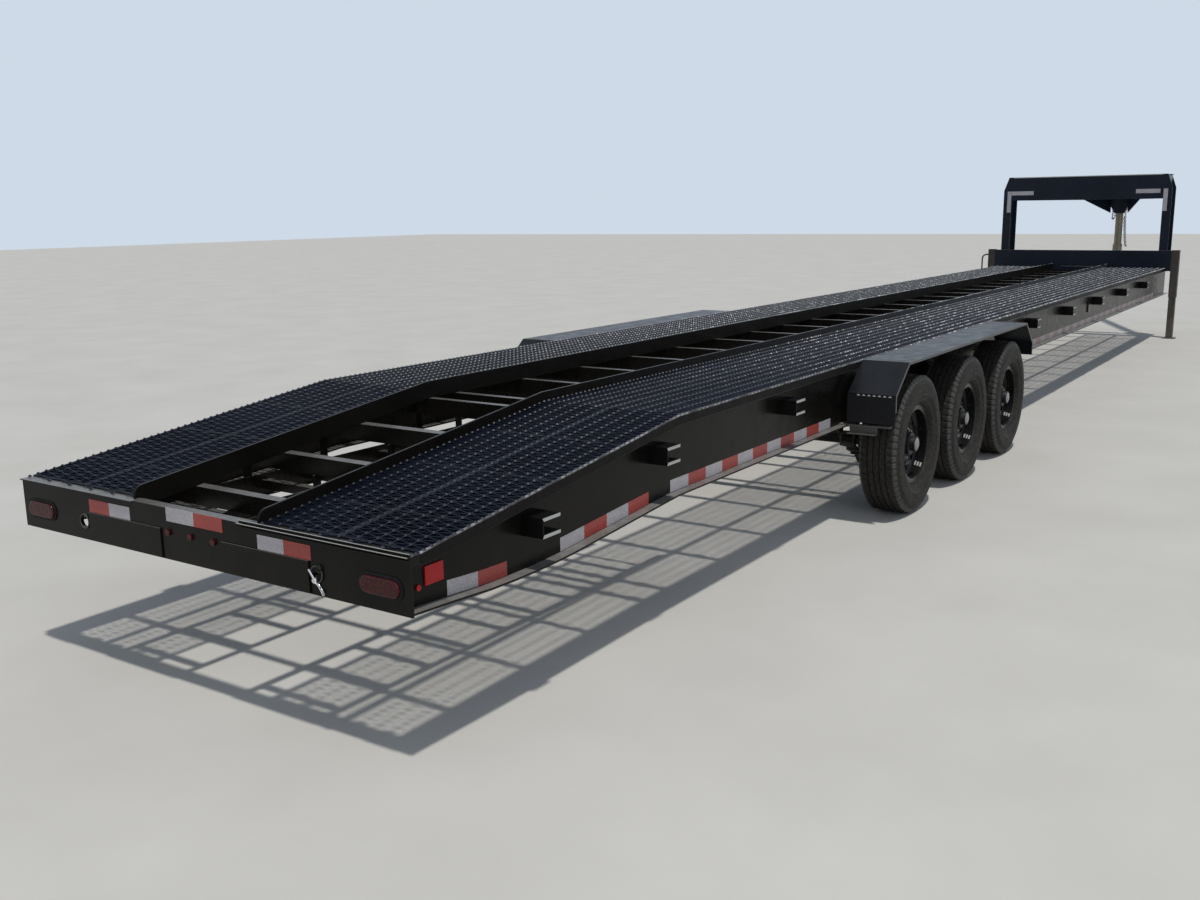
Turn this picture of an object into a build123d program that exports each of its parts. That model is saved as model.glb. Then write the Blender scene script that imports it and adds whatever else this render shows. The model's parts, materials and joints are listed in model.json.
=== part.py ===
from build123d import *
import math
import os

os.makedirs("parts", exist_ok=True)

# Gooseneck car hauler trailer with three axles, sizes in millimetres.
# X runs forward to the gooseneck, Y to the left, Z up from the ground.
# Places along the deck are counted from the rear face and turned into X by at().

# Deck and main beams
deck_length = 13840
deck_width = 2060
dovetail_length = 1600
rear_drop = 185
grating_depth = 38
beam_depth = 302
beam_flange_width = 101
beam_flange = 8
beam_web = 8
rear_beam_depth = 152
rear_flat_length = 650
centre_opening = 660
runner_start = 45
rail_start = 20
rail_wall = 10
rail_rise = 42
rail_nose = 36

# Crossmembers and the stubs that stand out of the side beams
cross_depth = 76
cross_flange = 36
cross_wall = 5
dovetail_cross_start = 300
dovetail_cross_pitch = 435
deck_cross_gap = 190
deck_cross_pitch = 528
stub_size = 100
stub_flange = 12
stub_web = 8
stub_reach = 45
stub_drop = 105
rear_stub_places = [650, 1475, 2685]
front_stub_gap = 1460
front_stub_pitch = 1270
front_stub_count = 5

# Grating of the two deck runners
bar_width = 6
bar_depth = 12
bar_count = 11
tie_width = 12
stringer_width = 32

# Wheels, axles and springs
tyre_diameter = 782
tyre_width = 235
rim_diameter = 406
rim_width = 152
axle_spacing = 940
middle_axle = 4800
fender_width = 265
wheel_side_gap = 10
axle_to_beam = 154
axle_tube_diameter = 76
spindle_diameter = 60
drum_diameter = 330
drum_depth = 98
stud_circle = 165.1
stud_count = 8
hand_hole_count = 8
spring_span = 640
spring_arch = 88
spring_width = 64
leaf_thickness = 11
leaf_count = 4
shackle_length = 57

# Gooseneck
header_depth = 254
header_flange = 66
header_overhang = 60
riser_depth = 305
portal_height = 2050
arm_depth = 302
neck_reach = 2150
coupler_housing_size = 127
coupler_tube_diameter = 102
coupler_bottom = 985
ball_diameter = 58.7

# Landing jacks
jack_tube = 89
jack_wall = 6
jack_tube_length = 581
leg_insertion = 130
foot_size = 150
foot_thickness = 10

# Rear panel, ramps and lamps
panel_thickness = 8
ramp_width = 410
ramp_depth = 90
ramp_length = 2100
ramp_centre = 378
ramp_wall = 6
ramp_rise = 12
ramp_plate = 5
ramp_plate_lap = 9
lamp_width = 166
lamp_height = 58
lamp_proud = 12

# Clearances: shafts and seats, side gaps of fitted pieces, room round sliding pieces
running_gap = 0.3
plate_gap = 1
slide_gap = 5

# Values worked out from the sizes above
wheel_radius = tyre_diameter / 2
beam_bottom = wheel_radius + axle_to_beam
steel_top = beam_bottom + beam_depth
deck_height = steel_top + grating_depth
rear_steel_top = steel_top - rear_drop
rear_beam_bottom = rear_steel_top - rear_beam_depth
deck_half = deck_width / 2
beam_y = deck_half - beam_flange_width / 2
web_face = beam_y + beam_web / 2
riser_x = deck_length + header_flange
beam_end = riser_x + riser_depth
coupler_x = beam_end + neck_reach
overall_front = coupler_x + coupler_housing_size / 2
overall_rear = -lamp_proud
middle = (overall_front + overall_rear) / 2
slope = rear_drop / dovetail_length
slope_angle = math.degrees(math.atan(slope))
slope_cos = math.cos(math.atan(slope))
slope_sin = math.sin(math.atan(slope))
fender_outer = deck_half + fender_width
wheel_y = fender_outer - wheel_side_gap - tyre_width / 2

# Rows of like pieces: name and the axle's place counted from the middle one, name and side
axle_rows = [("rear", -1), ("middle", 0), ("front", 1)]
side_rows = [("left", 1), ("right", -1)]


def at(x):
    return x - middle


def side_plane(y):
    return Plane.XZ.offset(-y)


def steel_line(x):
    # Height of the top of the steel frame, which drops along the dovetail
    return steel_top - slope * max(0, dovetail_length - x)


def export(part, name):
    part.label = name
    export_step(part, f"parts/{name}.step")


# Side beams: I beams whose webs taper along the dovetail
def beam_outline(inset, overrun):
    return [
        (at(panel_thickness - overrun), rear_beam_bottom + inset),
        (at(rear_flat_length), rear_beam_bottom + inset),
        (at(dovetail_length), beam_bottom + inset),
        (at(beam_end + overrun), beam_bottom + inset),
        (at(beam_end + overrun), steel_top - inset),
        (at(dovetail_length), steel_top - inset),
        (at(panel_thickness - overrun), steel_line(panel_thickness) - inset),
    ]


for side_name, side in side_rows:
    with BuildPart() as side_beam:
        with BuildSketch(side_plane(side * beam_y)):
            Polygon(*beam_outline(0, 0), align=None)
            Polygon(*beam_outline(beam_flange, 1), align=None, mode=Mode.SUBTRACT)
        extrude(amount=beam_flange_width / 2, both=True)
        with BuildSketch(side_plane(side * beam_y)):
            Polygon(*beam_outline(0, 0), align=None)
        extrude(amount=beam_web / 2, both=True)
    export(side_beam.part, f"side_beam_{side_name}")

# Crossmembers: channels between the beams' top flanges, open to the front
cross_span = deck_width - 2 * beam_flange_width
dovetail_cross_run = dovetail_length - cross_flange - dovetail_cross_start
dovetail_cross_count = int(dovetail_cross_run // dovetail_cross_pitch) + 1
kink_cross = dovetail_length + cross_flange / 2
deck_cross_start = kink_cross + deck_cross_gap
deck_cross_run = deck_length - cross_flange - deck_cross_start
deck_cross_count = int(deck_cross_run // deck_cross_pitch) + 1
slope_places = [dovetail_cross_start + i * dovetail_cross_pitch for i in range(dovetail_cross_count)]
level_places = [kink_cross] + [deck_cross_start + i * deck_cross_pitch for i in range(deck_cross_count)]

with BuildPart() as crossmembers:
    with BuildSketch(side_plane(0)):
        for places, tilt in ((slope_places, slope_angle), (level_places, 0)):
            with Locations([Location((at(x), steel_line(x)), tilt) for x in places]):
                Rectangle(cross_flange, cross_depth, align=(Align.CENTER, Align.MAX))
                with Locations((cross_wall, -cross_wall)):
                    Rectangle(cross_flange, cross_depth - 2 * cross_wall,
                              align=(Align.CENTER, Align.MAX), mode=Mode.SUBTRACT)
    extrude(amount=cross_span / 2, both=True)
export(crossmembers.part, "crossmembers")


# Inner rails: plates that stand up along both sides of the centre opening, rounded at the rear
def deck_band(start, end, low, high):
    # Side outline of a band that follows the deck, between two heights over the steel
    return [
        (at(start), steel_line(start) + low),
        (at(dovetail_length), steel_top + low),
        (at(end), steel_top + low),
        (at(end), steel_top + high),
        (at(dovetail_length), steel_top + high),
        (at(start), steel_line(start) + high),
    ]


with BuildPart() as inner_rails:
    for _, side in side_rows:
        with BuildSketch(side_plane(side * (centre_opening / 2 + rail_wall / 2))):
            Polygon(*deck_band(runner_start, deck_length, 0, grating_depth), align=None)
            Polygon(*deck_band(rail_start, deck_length, grating_depth, grating_depth + rail_rise), align=None)
            nose = vertices().group_by(Axis.X)[0].sort_by(Axis.Y)[-1]
            fillet(nose, rail_nose)
        extrude(amount=rail_wall / 2, both=True)
export(inner_rails.part, "inner_rails")

# Deck runners: open grating, bent down at the dovetail, with shallow bars over deep edges, stringer and ties
runner_inner = centre_opening / 2 + rail_wall
runner_width = deck_half - runner_inner
bar_pitch = (runner_width - bar_width) / (bar_count - 1)
slope_run = (dovetail_length - runner_start) / slope_cos
slope_plane = Plane(origin=(at(dovetail_length), 0, deck_height),
                    x_dir=(slope_cos, 0, slope_sin), z_dir=(-slope_sin, 0, slope_cos))
level_plane = Plane(origin=(at(dovetail_length), 0, deck_height))
level_run = deck_length - dovetail_length
slope_ties = [tie_width / 2 - slope_run] + [(x - dovetail_length) / slope_cos for x in slope_places]
level_ties = [x - dovetail_length for x in level_places] + [level_run - tie_width / 2]

# Fields of the grating: plane, where its middle lies on it, length, places of the ties, depth
grating_fields = [
    (slope_plane, -slope_run / 2, slope_run, slope_ties, grating_depth * slope_cos),
    (level_plane, level_run / 2, level_run, level_ties, grating_depth),
]

for side_name, side in side_rows:
    with BuildPart() as runner:
        runner_y = side * (runner_inner + runner_width / 2)
        for field_plane, field_middle, field_length, tie_places, field_depth in grating_fields:
            with BuildSketch(field_plane):
                with Locations((field_middle, runner_y)):
                    with GridLocations(1, bar_pitch, 1, bar_count):
                        Rectangle(field_length, bar_width)
            extrude(amount=-bar_depth)
            with BuildSketch(field_plane):
                with Locations((field_middle, runner_y)):
                    Rectangle(field_length, stringer_width)
                    with GridLocations(1, runner_width - bar_width, 1, 2):
                        Rectangle(field_length, bar_width)
                with Locations([(x, runner_y) for x in tie_places]):
                    Rectangle(tie_width, runner_width)
            extrude(amount=-field_depth)
    export(runner.part, f"deck_runner_{side_name}")

# Stubs: short channels, open to the front, that stand out of the side beams' webs past the flanges
stub_places = rear_stub_places + [deck_length - front_stub_gap - i * front_stub_pitch
                                  for i in range(front_stub_count)]
stub_run = deck_half + stub_reach - web_face

with BuildPart() as cross_stubs:
    for _, side in side_rows:
        with BuildSketch(side_plane(side * web_face)):
            with Locations([(at(x), steel_line(x) - stub_drop) for x in stub_places]):
                Rectangle(stub_size, stub_size)
                with Locations((stub_web, 0)):
                    Rectangle(stub_size, stub_size - 2 * stub_flange, mode=Mode.SUBTRACT)
        extrude(amount=-side * stub_run)
export(cross_stubs.part, "cross_stubs")

# Rear panel: a plate with a flange folded in along its top and closed at both ends, lips, and openings
panel_bottom = rear_beam_bottom
panel_top = rear_steel_top + grating_depth
ramp_bottom = panel_bottom + ramp_rise
ramp_middle_z = ramp_bottom + ramp_depth / 2
grommet_width = 10
lamp_y = deck_half - 125
lamp_z = panel_bottom + 80
socket_y = 626
socket_z = panel_bottom + 72
socket_radius_rear = 23
socket_ring = 7
lip_reach = 10
lip_thickness = 4
lip_pitch = 9

# Lips: side, how far they run past the runner's inner edge, how many
lip_rows = [(1, 23, 1), (-1, 90, 2)]

with BuildPart() as rear_panel:
    with BuildSketch(Plane.YZ.offset(at(0))):
        with Locations((0, panel_bottom)):
            Rectangle(deck_width, panel_top - panel_bottom, align=(Align.CENTER, Align.MIN))
        with Locations((-ramp_centre, ramp_middle_z), (ramp_centre, ramp_middle_z)):
            Rectangle(ramp_width + 2 * slide_gap, ramp_depth + 2 * slide_gap, mode=Mode.SUBTRACT)
        with Locations((-lamp_y, lamp_z), (lamp_y, lamp_z)):
            SlotOverall(lamp_width, lamp_height, mode=Mode.SUBTRACT)
        with Locations((-socket_y, socket_z), (socket_y, socket_z)):
            Circle(socket_radius_rear, mode=Mode.SUBTRACT)
    extrude(amount=panel_thickness)
    with BuildSketch(Plane.YZ.offset(at(0))):
        with Locations((-socket_y, socket_z), (socket_y, socket_z)):
            Circle(socket_radius_rear + socket_ring)
            Circle(socket_radius_rear, mode=Mode.SUBTRACT)
    extrude(amount=-lip_thickness)
    with BuildSketch(Plane.XY.offset(panel_top)):
        with Locations((at(0), 0)):
            Rectangle(runner_start, deck_width, align=(Align.MIN, Align.CENTER))
    extrude(amount=-panel_thickness)
    for _, side in side_rows:
        with BuildSketch(side_plane(side * (deck_half - bar_width / 2))):
            Polygon((at(0), panel_top), (at(runner_start), panel_top), (at(runner_start), steel_line(runner_start)),
                    (at(panel_thickness), steel_line(panel_thickness)), (at(0), rear_steel_top), align=None)
        extrude(amount=bar_width / 2, both=True)
    for side, overrun, lip_count in lip_rows:
        for i in range(lip_count):
            with BuildSketch(Plane.XY.offset(panel_top - i * lip_pitch)):
                with Locations((at(0), side * (deck_half + runner_inner - overrun) / 2)):
                    Rectangle(lip_reach, runner_width + overrun, align=(Align.MAX, Align.CENTER))
            extrude(amount=-lip_thickness)
export(rear_panel.part, "rear_panel")

# Tail lamps in rubber grommets, red marker lamps and reflectors, amber side markers
lamp_fillet = 5
grommet_proud = 4
id_lamp_radius = 12
id_lamp_pitch = 122
id_lamp_z = panel_bottom + 101
reflector_width = 84
reflector_height = 62
reflector_x = 148
reflector_z = rear_beam_bottom + 96
reflector_thickness = 6
bullet_radius = 10
bullet_x = 76
bullet_z = rear_beam_bottom + 67
amber_x = deck_length - 4253
amber_width = 100
amber_height = 38
amber_z = beam_bottom + 170

with BuildPart() as tail_lamps:
    with BuildSketch(Plane.YZ.offset(at(panel_thickness))):
        with Locations((-lamp_y, lamp_z), (lamp_y, lamp_z)):
            SlotOverall(lamp_width - 2 * running_gap, lamp_height - 2 * running_gap)
    extrude(amount=-panel_thickness - lamp_proud)
    fillet(edges().group_by(Axis.X)[0], lamp_fillet)
export(tail_lamps.part, "tail_lamps")

with BuildPart() as grommets:
    with BuildSketch(Plane.YZ.offset(at(0))):
        with Locations((-lamp_y, lamp_z), (lamp_y, lamp_z)):
            SlotOverall(lamp_width + 2 * grommet_width, lamp_height + 2 * grommet_width)
            SlotOverall(lamp_width, lamp_height, mode=Mode.SUBTRACT)
    extrude(amount=-grommet_proud)
export(grommets.part, "lamp_grommets")

with BuildPart() as marker_lamps:
    with BuildSketch(Plane.YZ.offset(at(0))):
        with Locations((0, id_lamp_z)):
            with GridLocations(id_lamp_pitch, 1, 3, 1):
                Circle(id_lamp_radius)
    extrude(amount=-lamp_proud + grommet_proud)
    for _, side in side_rows:
        with BuildSketch(side_plane(side * web_face)):
            with Locations((at(reflector_x), reflector_z)):
                Rectangle(reflector_width, reflector_height)
            with Locations((at(bullet_x), bullet_z)):
                Circle(bullet_radius)
        extrude(amount=-side * reflector_thickness)
export(marker_lamps.part, "marker_lamps")

with BuildPart() as amber_markers:
    for _, side in side_rows:
        with BuildSketch(side_plane(side * web_face)):
            with Locations((at(amber_x), amber_z)):
                SlotOverall(amber_width, amber_height, rotation=90)
        extrude(amount=-side * lamp_proud)
export(amber_markers.part, "amber_markers")

# Ramps that slide in under the dovetail: a frame with rungs, and a plate that covers its opening
rung_count = 9
rung_size = 38

for side_name, side in side_rows:
    ramp_y = side * ramp_centre
    with BuildPart() as ramp:
        with BuildSketch(Plane.XY.offset(ramp_bottom)):
            with Locations((at(ramp_length / 2), ramp_y)):
                Rectangle(ramp_length, ramp_width)
                Rectangle(ramp_length - 2 * panel_thickness, ramp_width - 2 * ramp_wall, mode=Mode.SUBTRACT)
        extrude(amount=ramp_depth)
        with BuildSketch(side_plane(ramp_y)):
            with Locations((at(ramp_length / 2), ramp_middle_z)):
                with GridLocations(ramp_length / rung_count, 1, rung_count, 1):
                    Rectangle(rung_size, rung_size)
        extrude(amount=ramp_width / 2 - ramp_wall, both=True)
        with BuildSketch(Plane.YZ.offset(at(-plate_gap))):
            with Locations((ramp_y, ramp_middle_z)):
                Rectangle(ramp_width + 2 * ramp_plate_lap, ramp_depth + 2 * ramp_plate_lap)
        extrude(amount=-ramp_plate)
        with BuildSketch(Plane.YZ.offset(at(-plate_gap))):
            with Locations((ramp_y, ramp_middle_z)):
                Rectangle(ramp_width, ramp_depth)
        extrude(amount=panel_thickness)
    export(ramp.part, f"ramp_{side_name}")

# Ramp guides: angles under both edges of each ramp, hung from the crossmembers
guide_wall = 5
guide_lip = 30
guide_height = 45
guide_length = 2300
strap_length = 40
guide_bottom = ramp_bottom - running_gap

with BuildPart() as ramp_guides:
    for _, side in side_rows:
        for edge in (-1, 1):
            wall_y = side * ramp_centre + edge * (ramp_width / 2 + slide_gap)
            with BuildSketch(Plane.YZ.offset(at(panel_thickness))):
                with Locations((wall_y + edge * guide_wall / 2, guide_bottom)):
                    Rectangle(guide_wall, guide_height, align=(Align.CENTER, Align.MIN))
                with Locations((wall_y + edge * guide_wall, guide_bottom)):
                    Rectangle(guide_lip, guide_wall, align=(Align.MAX if edge > 0 else Align.MIN, Align.MAX))
            extrude(amount=guide_length - panel_thickness)
            with BuildSketch(side_plane(wall_y + edge * guide_wall / 2)):
                for x in [place for place in slope_places + level_places if place < guide_length]:
                    rear = x - strap_length / 2
                    front = x + strap_length / 2
                    drop = cross_depth / slope_cos if x < dovetail_length else cross_depth
                    tilt = slope * strap_length / 2 if x < dovetail_length else 0
                    strap_top = steel_line(x) - drop
                    Polygon((at(rear), ramp_bottom), (at(front), ramp_bottom), (at(front), strap_top + tilt),
                            (at(rear), strap_top - tilt), align=None)
            extrude(amount=guide_wall / 2, both=True)
export(ramp_guides.part, "ramp_guides")

# Fenders: folded plates level with the deck, with a skirt along the outer edge
fender_plate = 5
fender_end_gap = 74
fender_slant = 190
fender_fall = 155
fender_height = 245
fender_skirt = 14
fender_half = axle_spacing + wheel_radius + fender_end_gap
fender_knee = deck_height - fender_fall
fender_bottom = deck_height - fender_height


def fender_outline(inset):
    lean = inset * math.tan(math.atan(fender_slant / fender_fall) / 2)
    half = [
        (fender_half - inset, fender_bottom),
        (fender_half - inset, fender_knee - lean),
        (fender_half - fender_slant - lean, deck_height - inset),
    ]
    front = [(at(middle_axle) + x, z) for x, z in half]
    rear = [(at(middle_axle) - x, z) for x, z in reversed(half)]
    return front + rear


for side_name, side in side_rows:
    with BuildPart() as fender:
        with BuildSketch(side_plane(side * (deck_half + fender_width / 2))):
            Polygon(*fender_outline(0), align=None)
            Polygon(*fender_outline(fender_plate), align=None, mode=Mode.SUBTRACT)
        extrude(amount=fender_width / 2, both=True)
        with BuildSketch(side_plane(side * (fender_outer - fender_plate / 2))):
            Polygon(*fender_outline(fender_plate), align=None)
            Polygon(*fender_outline(fender_skirt), align=None, mode=Mode.SUBTRACT)
        extrude(amount=fender_plate / 2, both=True)
    export(fender.part, f"fender_{side_name}")

# Mud flaps bolted behind the fenders' rear ends, and channels, open to the rear, along their lower edges
flap_thickness = 8
flap_lap = 80
flap_drop = 65
bracket_size = 40
bracket_depth = 50
bracket_wall = 5
bracket_end_gap = 31
bracket_lower_reach = 155
flap_x = middle_axle - fender_half - flap_thickness
flap_low = fender_bottom - flap_drop
flap_high = fender_bottom + flap_lap
bracket_x = flap_x + flap_thickness
bracket_top = beam_bottom + beam_flange + bracket_wall

with BuildPart() as mud_flaps:
    for _, side in side_rows:
        with BuildSketch(Plane.YZ.offset(at(flap_x))):
            with Locations((side * (deck_half + fender_width / 2), flap_low)):
                Rectangle(fender_width, flap_high - flap_low, align=(Align.CENTER, Align.MIN))
        extrude(amount=flap_thickness)
export(mud_flaps.part, "mud_flaps")

with BuildPart() as flap_brackets:
    for _, side in side_rows:
        with BuildSketch(side_plane(side * web_face)):
            with Locations((at(bracket_x), bracket_top)):
                Rectangle(bracket_size, bracket_wall, align=(Align.MIN, Align.MAX))
        extrude(amount=-side * (fender_outer - bracket_end_gap - web_face))
        with BuildSketch(side_plane(side * deck_half)):
            with Locations((at(bracket_x), bracket_top)):
                Rectangle(bracket_size, bracket_depth, align=(Align.MIN, Align.MAX))
            with Locations((at(bracket_x - bracket_wall), bracket_top - bracket_wall)):
                Rectangle(bracket_size, bracket_depth - 2 * bracket_wall,
                          align=(Align.MIN, Align.MAX), mode=Mode.SUBTRACT)
        extrude(amount=-side * bracket_lower_reach)
export(flap_brackets.part, "flap_brackets")

# Wheels: a tyre, a steel rim with its disc, and a hub with its drum and studs
bead_radius = rim_diameter / 2
rim_half = rim_width / 2
rim_lip = 6
rim_wall = 7
rim_flange_height = 18
well_radius = bead_radius - 22
well_half = 22
well_slope = 12
disc_thickness = 8
disc_nose = 30
disc_outer_step = 6
disc_seat_radius = 104
hole_ring_inner = 120
hole_ring_outer = 158
hand_hole_radius = 14
hub_radius = 61.5
hub_face = 62
cap_radius = 42
cap_face = 92
stud_radius = 8
nut_radius = 13
nut_height = 22
spindle_reach = 60
drum_rim = 6
tread_half = 92
tread_crown = 4
shoulder_drop = 40
shoulder_inset = 8
sidewall_drop = 86
tread_depth = 24
sidewall = 14
bead_width = 24

# Tyre half section: radius, distance from the middle plane, outside and then inside
tyre_section = [
    (wheel_radius, 0),
    (wheel_radius - tread_crown, tread_half),
    (wheel_radius - shoulder_drop, tyre_width / 2 - shoulder_inset),
    (wheel_radius - sidewall_drop, tyre_width / 2),
    (bead_radius + rim_flange_height, rim_half + rim_lip - plate_gap),
    (bead_radius + rim_flange_height + plate_gap, rim_half - plate_gap),
    (bead_radius + running_gap, rim_half - plate_gap),
]
tyre_inside = [
    (wheel_radius - tread_depth, tread_half - tread_depth),
    (wheel_radius - sidewall_drop, tyre_width / 2 - sidewall),
    (bead_radius + running_gap, rim_half - bead_width),
]

# Rim half section: radius, distance from the middle plane, outer side and then inner side
rim_section = [
    (bead_radius + rim_flange_height, rim_half + rim_lip),
    (bead_radius + rim_flange_height, rim_half),
    (bead_radius, rim_half),
    (bead_radius, well_half + well_slope),
    (well_radius, well_half),
]
rim_back = [
    (well_radius - rim_wall, well_half),
    (bead_radius - rim_wall, well_half + well_slope),
    (bead_radius - rim_wall, rim_half + rim_lip),
]

# Wheel disc section: radius, distance outward from the middle plane
disc_section = [
    (well_radius - rim_wall, disc_outer_step),
    (hole_ring_outer, disc_nose - disc_thickness),
    (hole_ring_inner, disc_nose - disc_thickness),
    (disc_seat_radius, 0),
    (hub_radius + running_gap, 0),
    (hub_radius + running_gap, disc_thickness),
    (disc_seat_radius, disc_thickness),
    (hole_ring_inner, disc_nose),
    (hole_ring_outer, disc_nose),
    (well_radius - rim_wall, disc_outer_step + disc_thickness),
]


def mirrored(section):
    return [(radius, -width) for radius, width in reversed(section)]


def wheel_section_plane(x, y, side):
    # Local x is the radius and local y points outward along the axle
    return Plane(origin=(x, y, wheel_radius), x_dir=(1, 0, 0), z_dir=(0, 0, side))


def wheel_face_plane(x, y, side):
    return Plane(origin=(x, y, wheel_radius), x_dir=(1, 0, 0), z_dir=(0, side, 0))


for axle_name, step in axle_rows:
    for side_name, side in side_rows:
        wheel_x = at(middle_axle + step * axle_spacing)
        centre_y = side * wheel_y
        wheel_axis = Axis((wheel_x, centre_y, wheel_radius), (0, 1, 0))
        section_plane = wheel_section_plane(wheel_x, centre_y, side)
        face_plane = wheel_face_plane(wheel_x, centre_y, side)
        place = f"{axle_name}_{side_name}"
        with BuildPart() as tyre:
            with BuildSketch(section_plane):
                Polygon(*tyre_section, *mirrored(tyre_section[1:]), align=None)
                Polygon(*tyre_inside, *mirrored(tyre_inside), align=None, mode=Mode.SUBTRACT)
            revolve(axis=wheel_axis)
        export(tyre.part, f"tyre_{place}")

        with BuildPart() as rim:
            with BuildSketch(section_plane):
                Polygon(*rim_section, *mirrored(rim_section), *mirrored(rim_back), *rim_back, align=None)
                Polygon(*disc_section, align=None)
            revolve(axis=wheel_axis)
            with BuildSketch(face_plane):
                with PolarLocations(stud_circle / 2, stud_count):
                    Circle(stud_radius + running_gap)
            extrude(amount=disc_thickness, mode=Mode.SUBTRACT)
            with BuildSketch(face_plane):
                with PolarLocations((hole_ring_inner + hole_ring_outer) / 2, hand_hole_count):
                    Circle(hand_hole_radius)
            extrude(amount=disc_nose + 1, mode=Mode.SUBTRACT)
        export(rim.part, f"rim_{place}")

        with BuildPart() as hub:
            with BuildSketch(section_plane):
                Polygon((0, -spindle_reach), (0, cap_face), (cap_radius, cap_face), (cap_radius, hub_face),
                        (hub_radius, hub_face),
                        (hub_radius, -running_gap), (drum_diameter / 2, -running_gap),
                        (drum_diameter / 2, -drum_depth + drum_rim),
                        (drum_diameter / 2 + drum_rim, -drum_depth + drum_rim),
                        (drum_diameter / 2 + drum_rim, -drum_depth),
                        (spindle_diameter / 2 + running_gap, -drum_depth),
                        (spindle_diameter / 2 + running_gap, -spindle_reach), align=None)
            revolve(axis=wheel_axis)
            with BuildSketch(face_plane.offset(-running_gap)):
                with PolarLocations(stud_circle / 2, stud_count):
                    Circle(stud_radius)
            extrude(amount=disc_thickness + 2 * running_gap)
            with BuildSketch(face_plane.offset(disc_thickness + running_gap)):
                with PolarLocations(stud_circle / 2, stud_count):
                    RegularPolygon(nut_radius, 6)
            extrude(amount=nut_height)
        export(hub.part, f"hub_{place}")

# Axles with their spindles and brake backing plates
backing_gap = 5
backing_plate = 6
backing_y = wheel_y - drum_depth - backing_gap

with BuildPart() as axles:
    for _, step in axle_rows:
        axle_plane = Plane(origin=(at(middle_axle + step * axle_spacing), 0, wheel_radius),
                           x_dir=(1, 0, 0), z_dir=(0, 1, 0))
        with BuildSketch(axle_plane):
            Circle(axle_tube_diameter / 2)
        extrude(amount=backing_y - backing_plate, both=True)
        with BuildSketch(axle_plane):
            Circle(spindle_diameter / 2)
        extrude(amount=wheel_y - spindle_reach - plate_gap, both=True)
        for _, side in side_rows:
            with BuildSketch(axle_plane.offset(side * backing_y)):
                Circle(drum_diameter / 2)
            extrude(amount=-side * backing_plate)
export(axles.part, "axles")

# Leaf springs under the axles, with the seats that carry the axle tubes
seat_height = 12
seat_length = 110
leaf_step = 0.1
eye_radius = 18
pin_radius = 8
spring_top = wheel_radius - axle_tube_diameter / 2 - seat_height
eye_z = spring_top - leaf_thickness / 2 + spring_arch
arch_radius = (spring_span ** 2 / 4 + spring_arch ** 2) / (2 * spring_arch)


def arc_point(spring_x, radius, angle):
    # A point of a leaf, at an angle from the middle of the spring
    centre_z = spring_top - leaf_thickness / 2 + arch_radius
    return (spring_x + radius * math.sin(angle), centre_z - radius * math.cos(angle))


for side_name, side in side_rows:
    with BuildPart() as springs:
        for _, step in axle_rows:
            spring_x = at(middle_axle + step * axle_spacing)
            with BuildSketch(side_plane(side * beam_y)):
                for order in range(leaf_count):
                    outer = arch_radius + (order + 0.5) * leaf_thickness
                    inner = outer - leaf_thickness
                    half = math.asin(spring_span * (0.5 - leaf_step * order) / arch_radius)
                    with BuildLine():
                        ThreePointArc(arc_point(spring_x, outer, -half), arc_point(spring_x, outer, 0),
                                      arc_point(spring_x, outer, half))
                        Line(arc_point(spring_x, outer, half), arc_point(spring_x, inner, half))
                        ThreePointArc(arc_point(spring_x, inner, half), arc_point(spring_x, inner, 0),
                                      arc_point(spring_x, inner, -half))
                        Line(arc_point(spring_x, inner, -half), arc_point(spring_x, outer, -half))
                    make_face()
                with Locations((spring_x - spring_span / 2, eye_z), (spring_x + spring_span / 2, eye_z)):
                    Circle(eye_radius)
                    Circle(pin_radius + running_gap, mode=Mode.SUBTRACT)
            extrude(amount=spring_width / 2, both=True)
            with BuildSketch(Plane.XY.offset(spring_top - leaf_thickness / 2)):
                with Locations((spring_x, side * beam_y)):
                    Rectangle(seat_length, spring_width)
            extrude(amount=seat_height + leaf_thickness / 2)
    export(springs.part, f"springs_{side_name}")

# Hangers under the side beams, with the shackles and equalizers that join the springs
hanger_wall = 6
hanger_top_length = 100
hanger_round = 26
pivot_radius = 10
shackle_wall = 8
shackle_width = 34
equalizer_end = 24
equalizer_hub = 32
equalizer_rise = 20
link_z = eye_z + shackle_length
pivot_z = link_z + equalizer_rise
equalizer_half = (axle_spacing - spring_span) / 2
front_eye = middle_axle + axle_spacing + spring_span / 2
rear_eye = middle_axle - axle_spacing - spring_span / 2
pivot_places = [middle_axle - axle_spacing / 2, middle_axle + axle_spacing / 2]
shackle_places = [rear_eye] + [x + end * equalizer_half for x in pivot_places for end in (-1, 1)]
shackle_inner = spring_width / 2 + plate_gap
hanger_inner = shackle_inner + shackle_wall + plate_gap

# Hangers: places, height of the pin, inner half width, radius of the pin held in it, radius of its hole
hanger_rows = [
    ([front_eye], eye_z, shackle_inner, pin_radius, 0),
    ([rear_eye], link_z, hanger_inner, 0, pin_radius + running_gap),
    (pivot_places, pivot_z, hanger_inner, pivot_radius, 0),
]

cheeks = []
for places, pin_z, inner_half, held_pin, pin_hole in hanger_rows:
    with BuildSketch() as cheek:
        Circle(hanger_round)
        with Locations((0, beam_bottom - pin_z)):
            Rectangle(hanger_top_length, hanger_wall, align=(Align.CENTER, Align.MAX))
        make_hull()
        if pin_hole:
            Circle(pin_hole, mode=Mode.SUBTRACT)
    cheeks.append(cheek.sketch)

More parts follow.
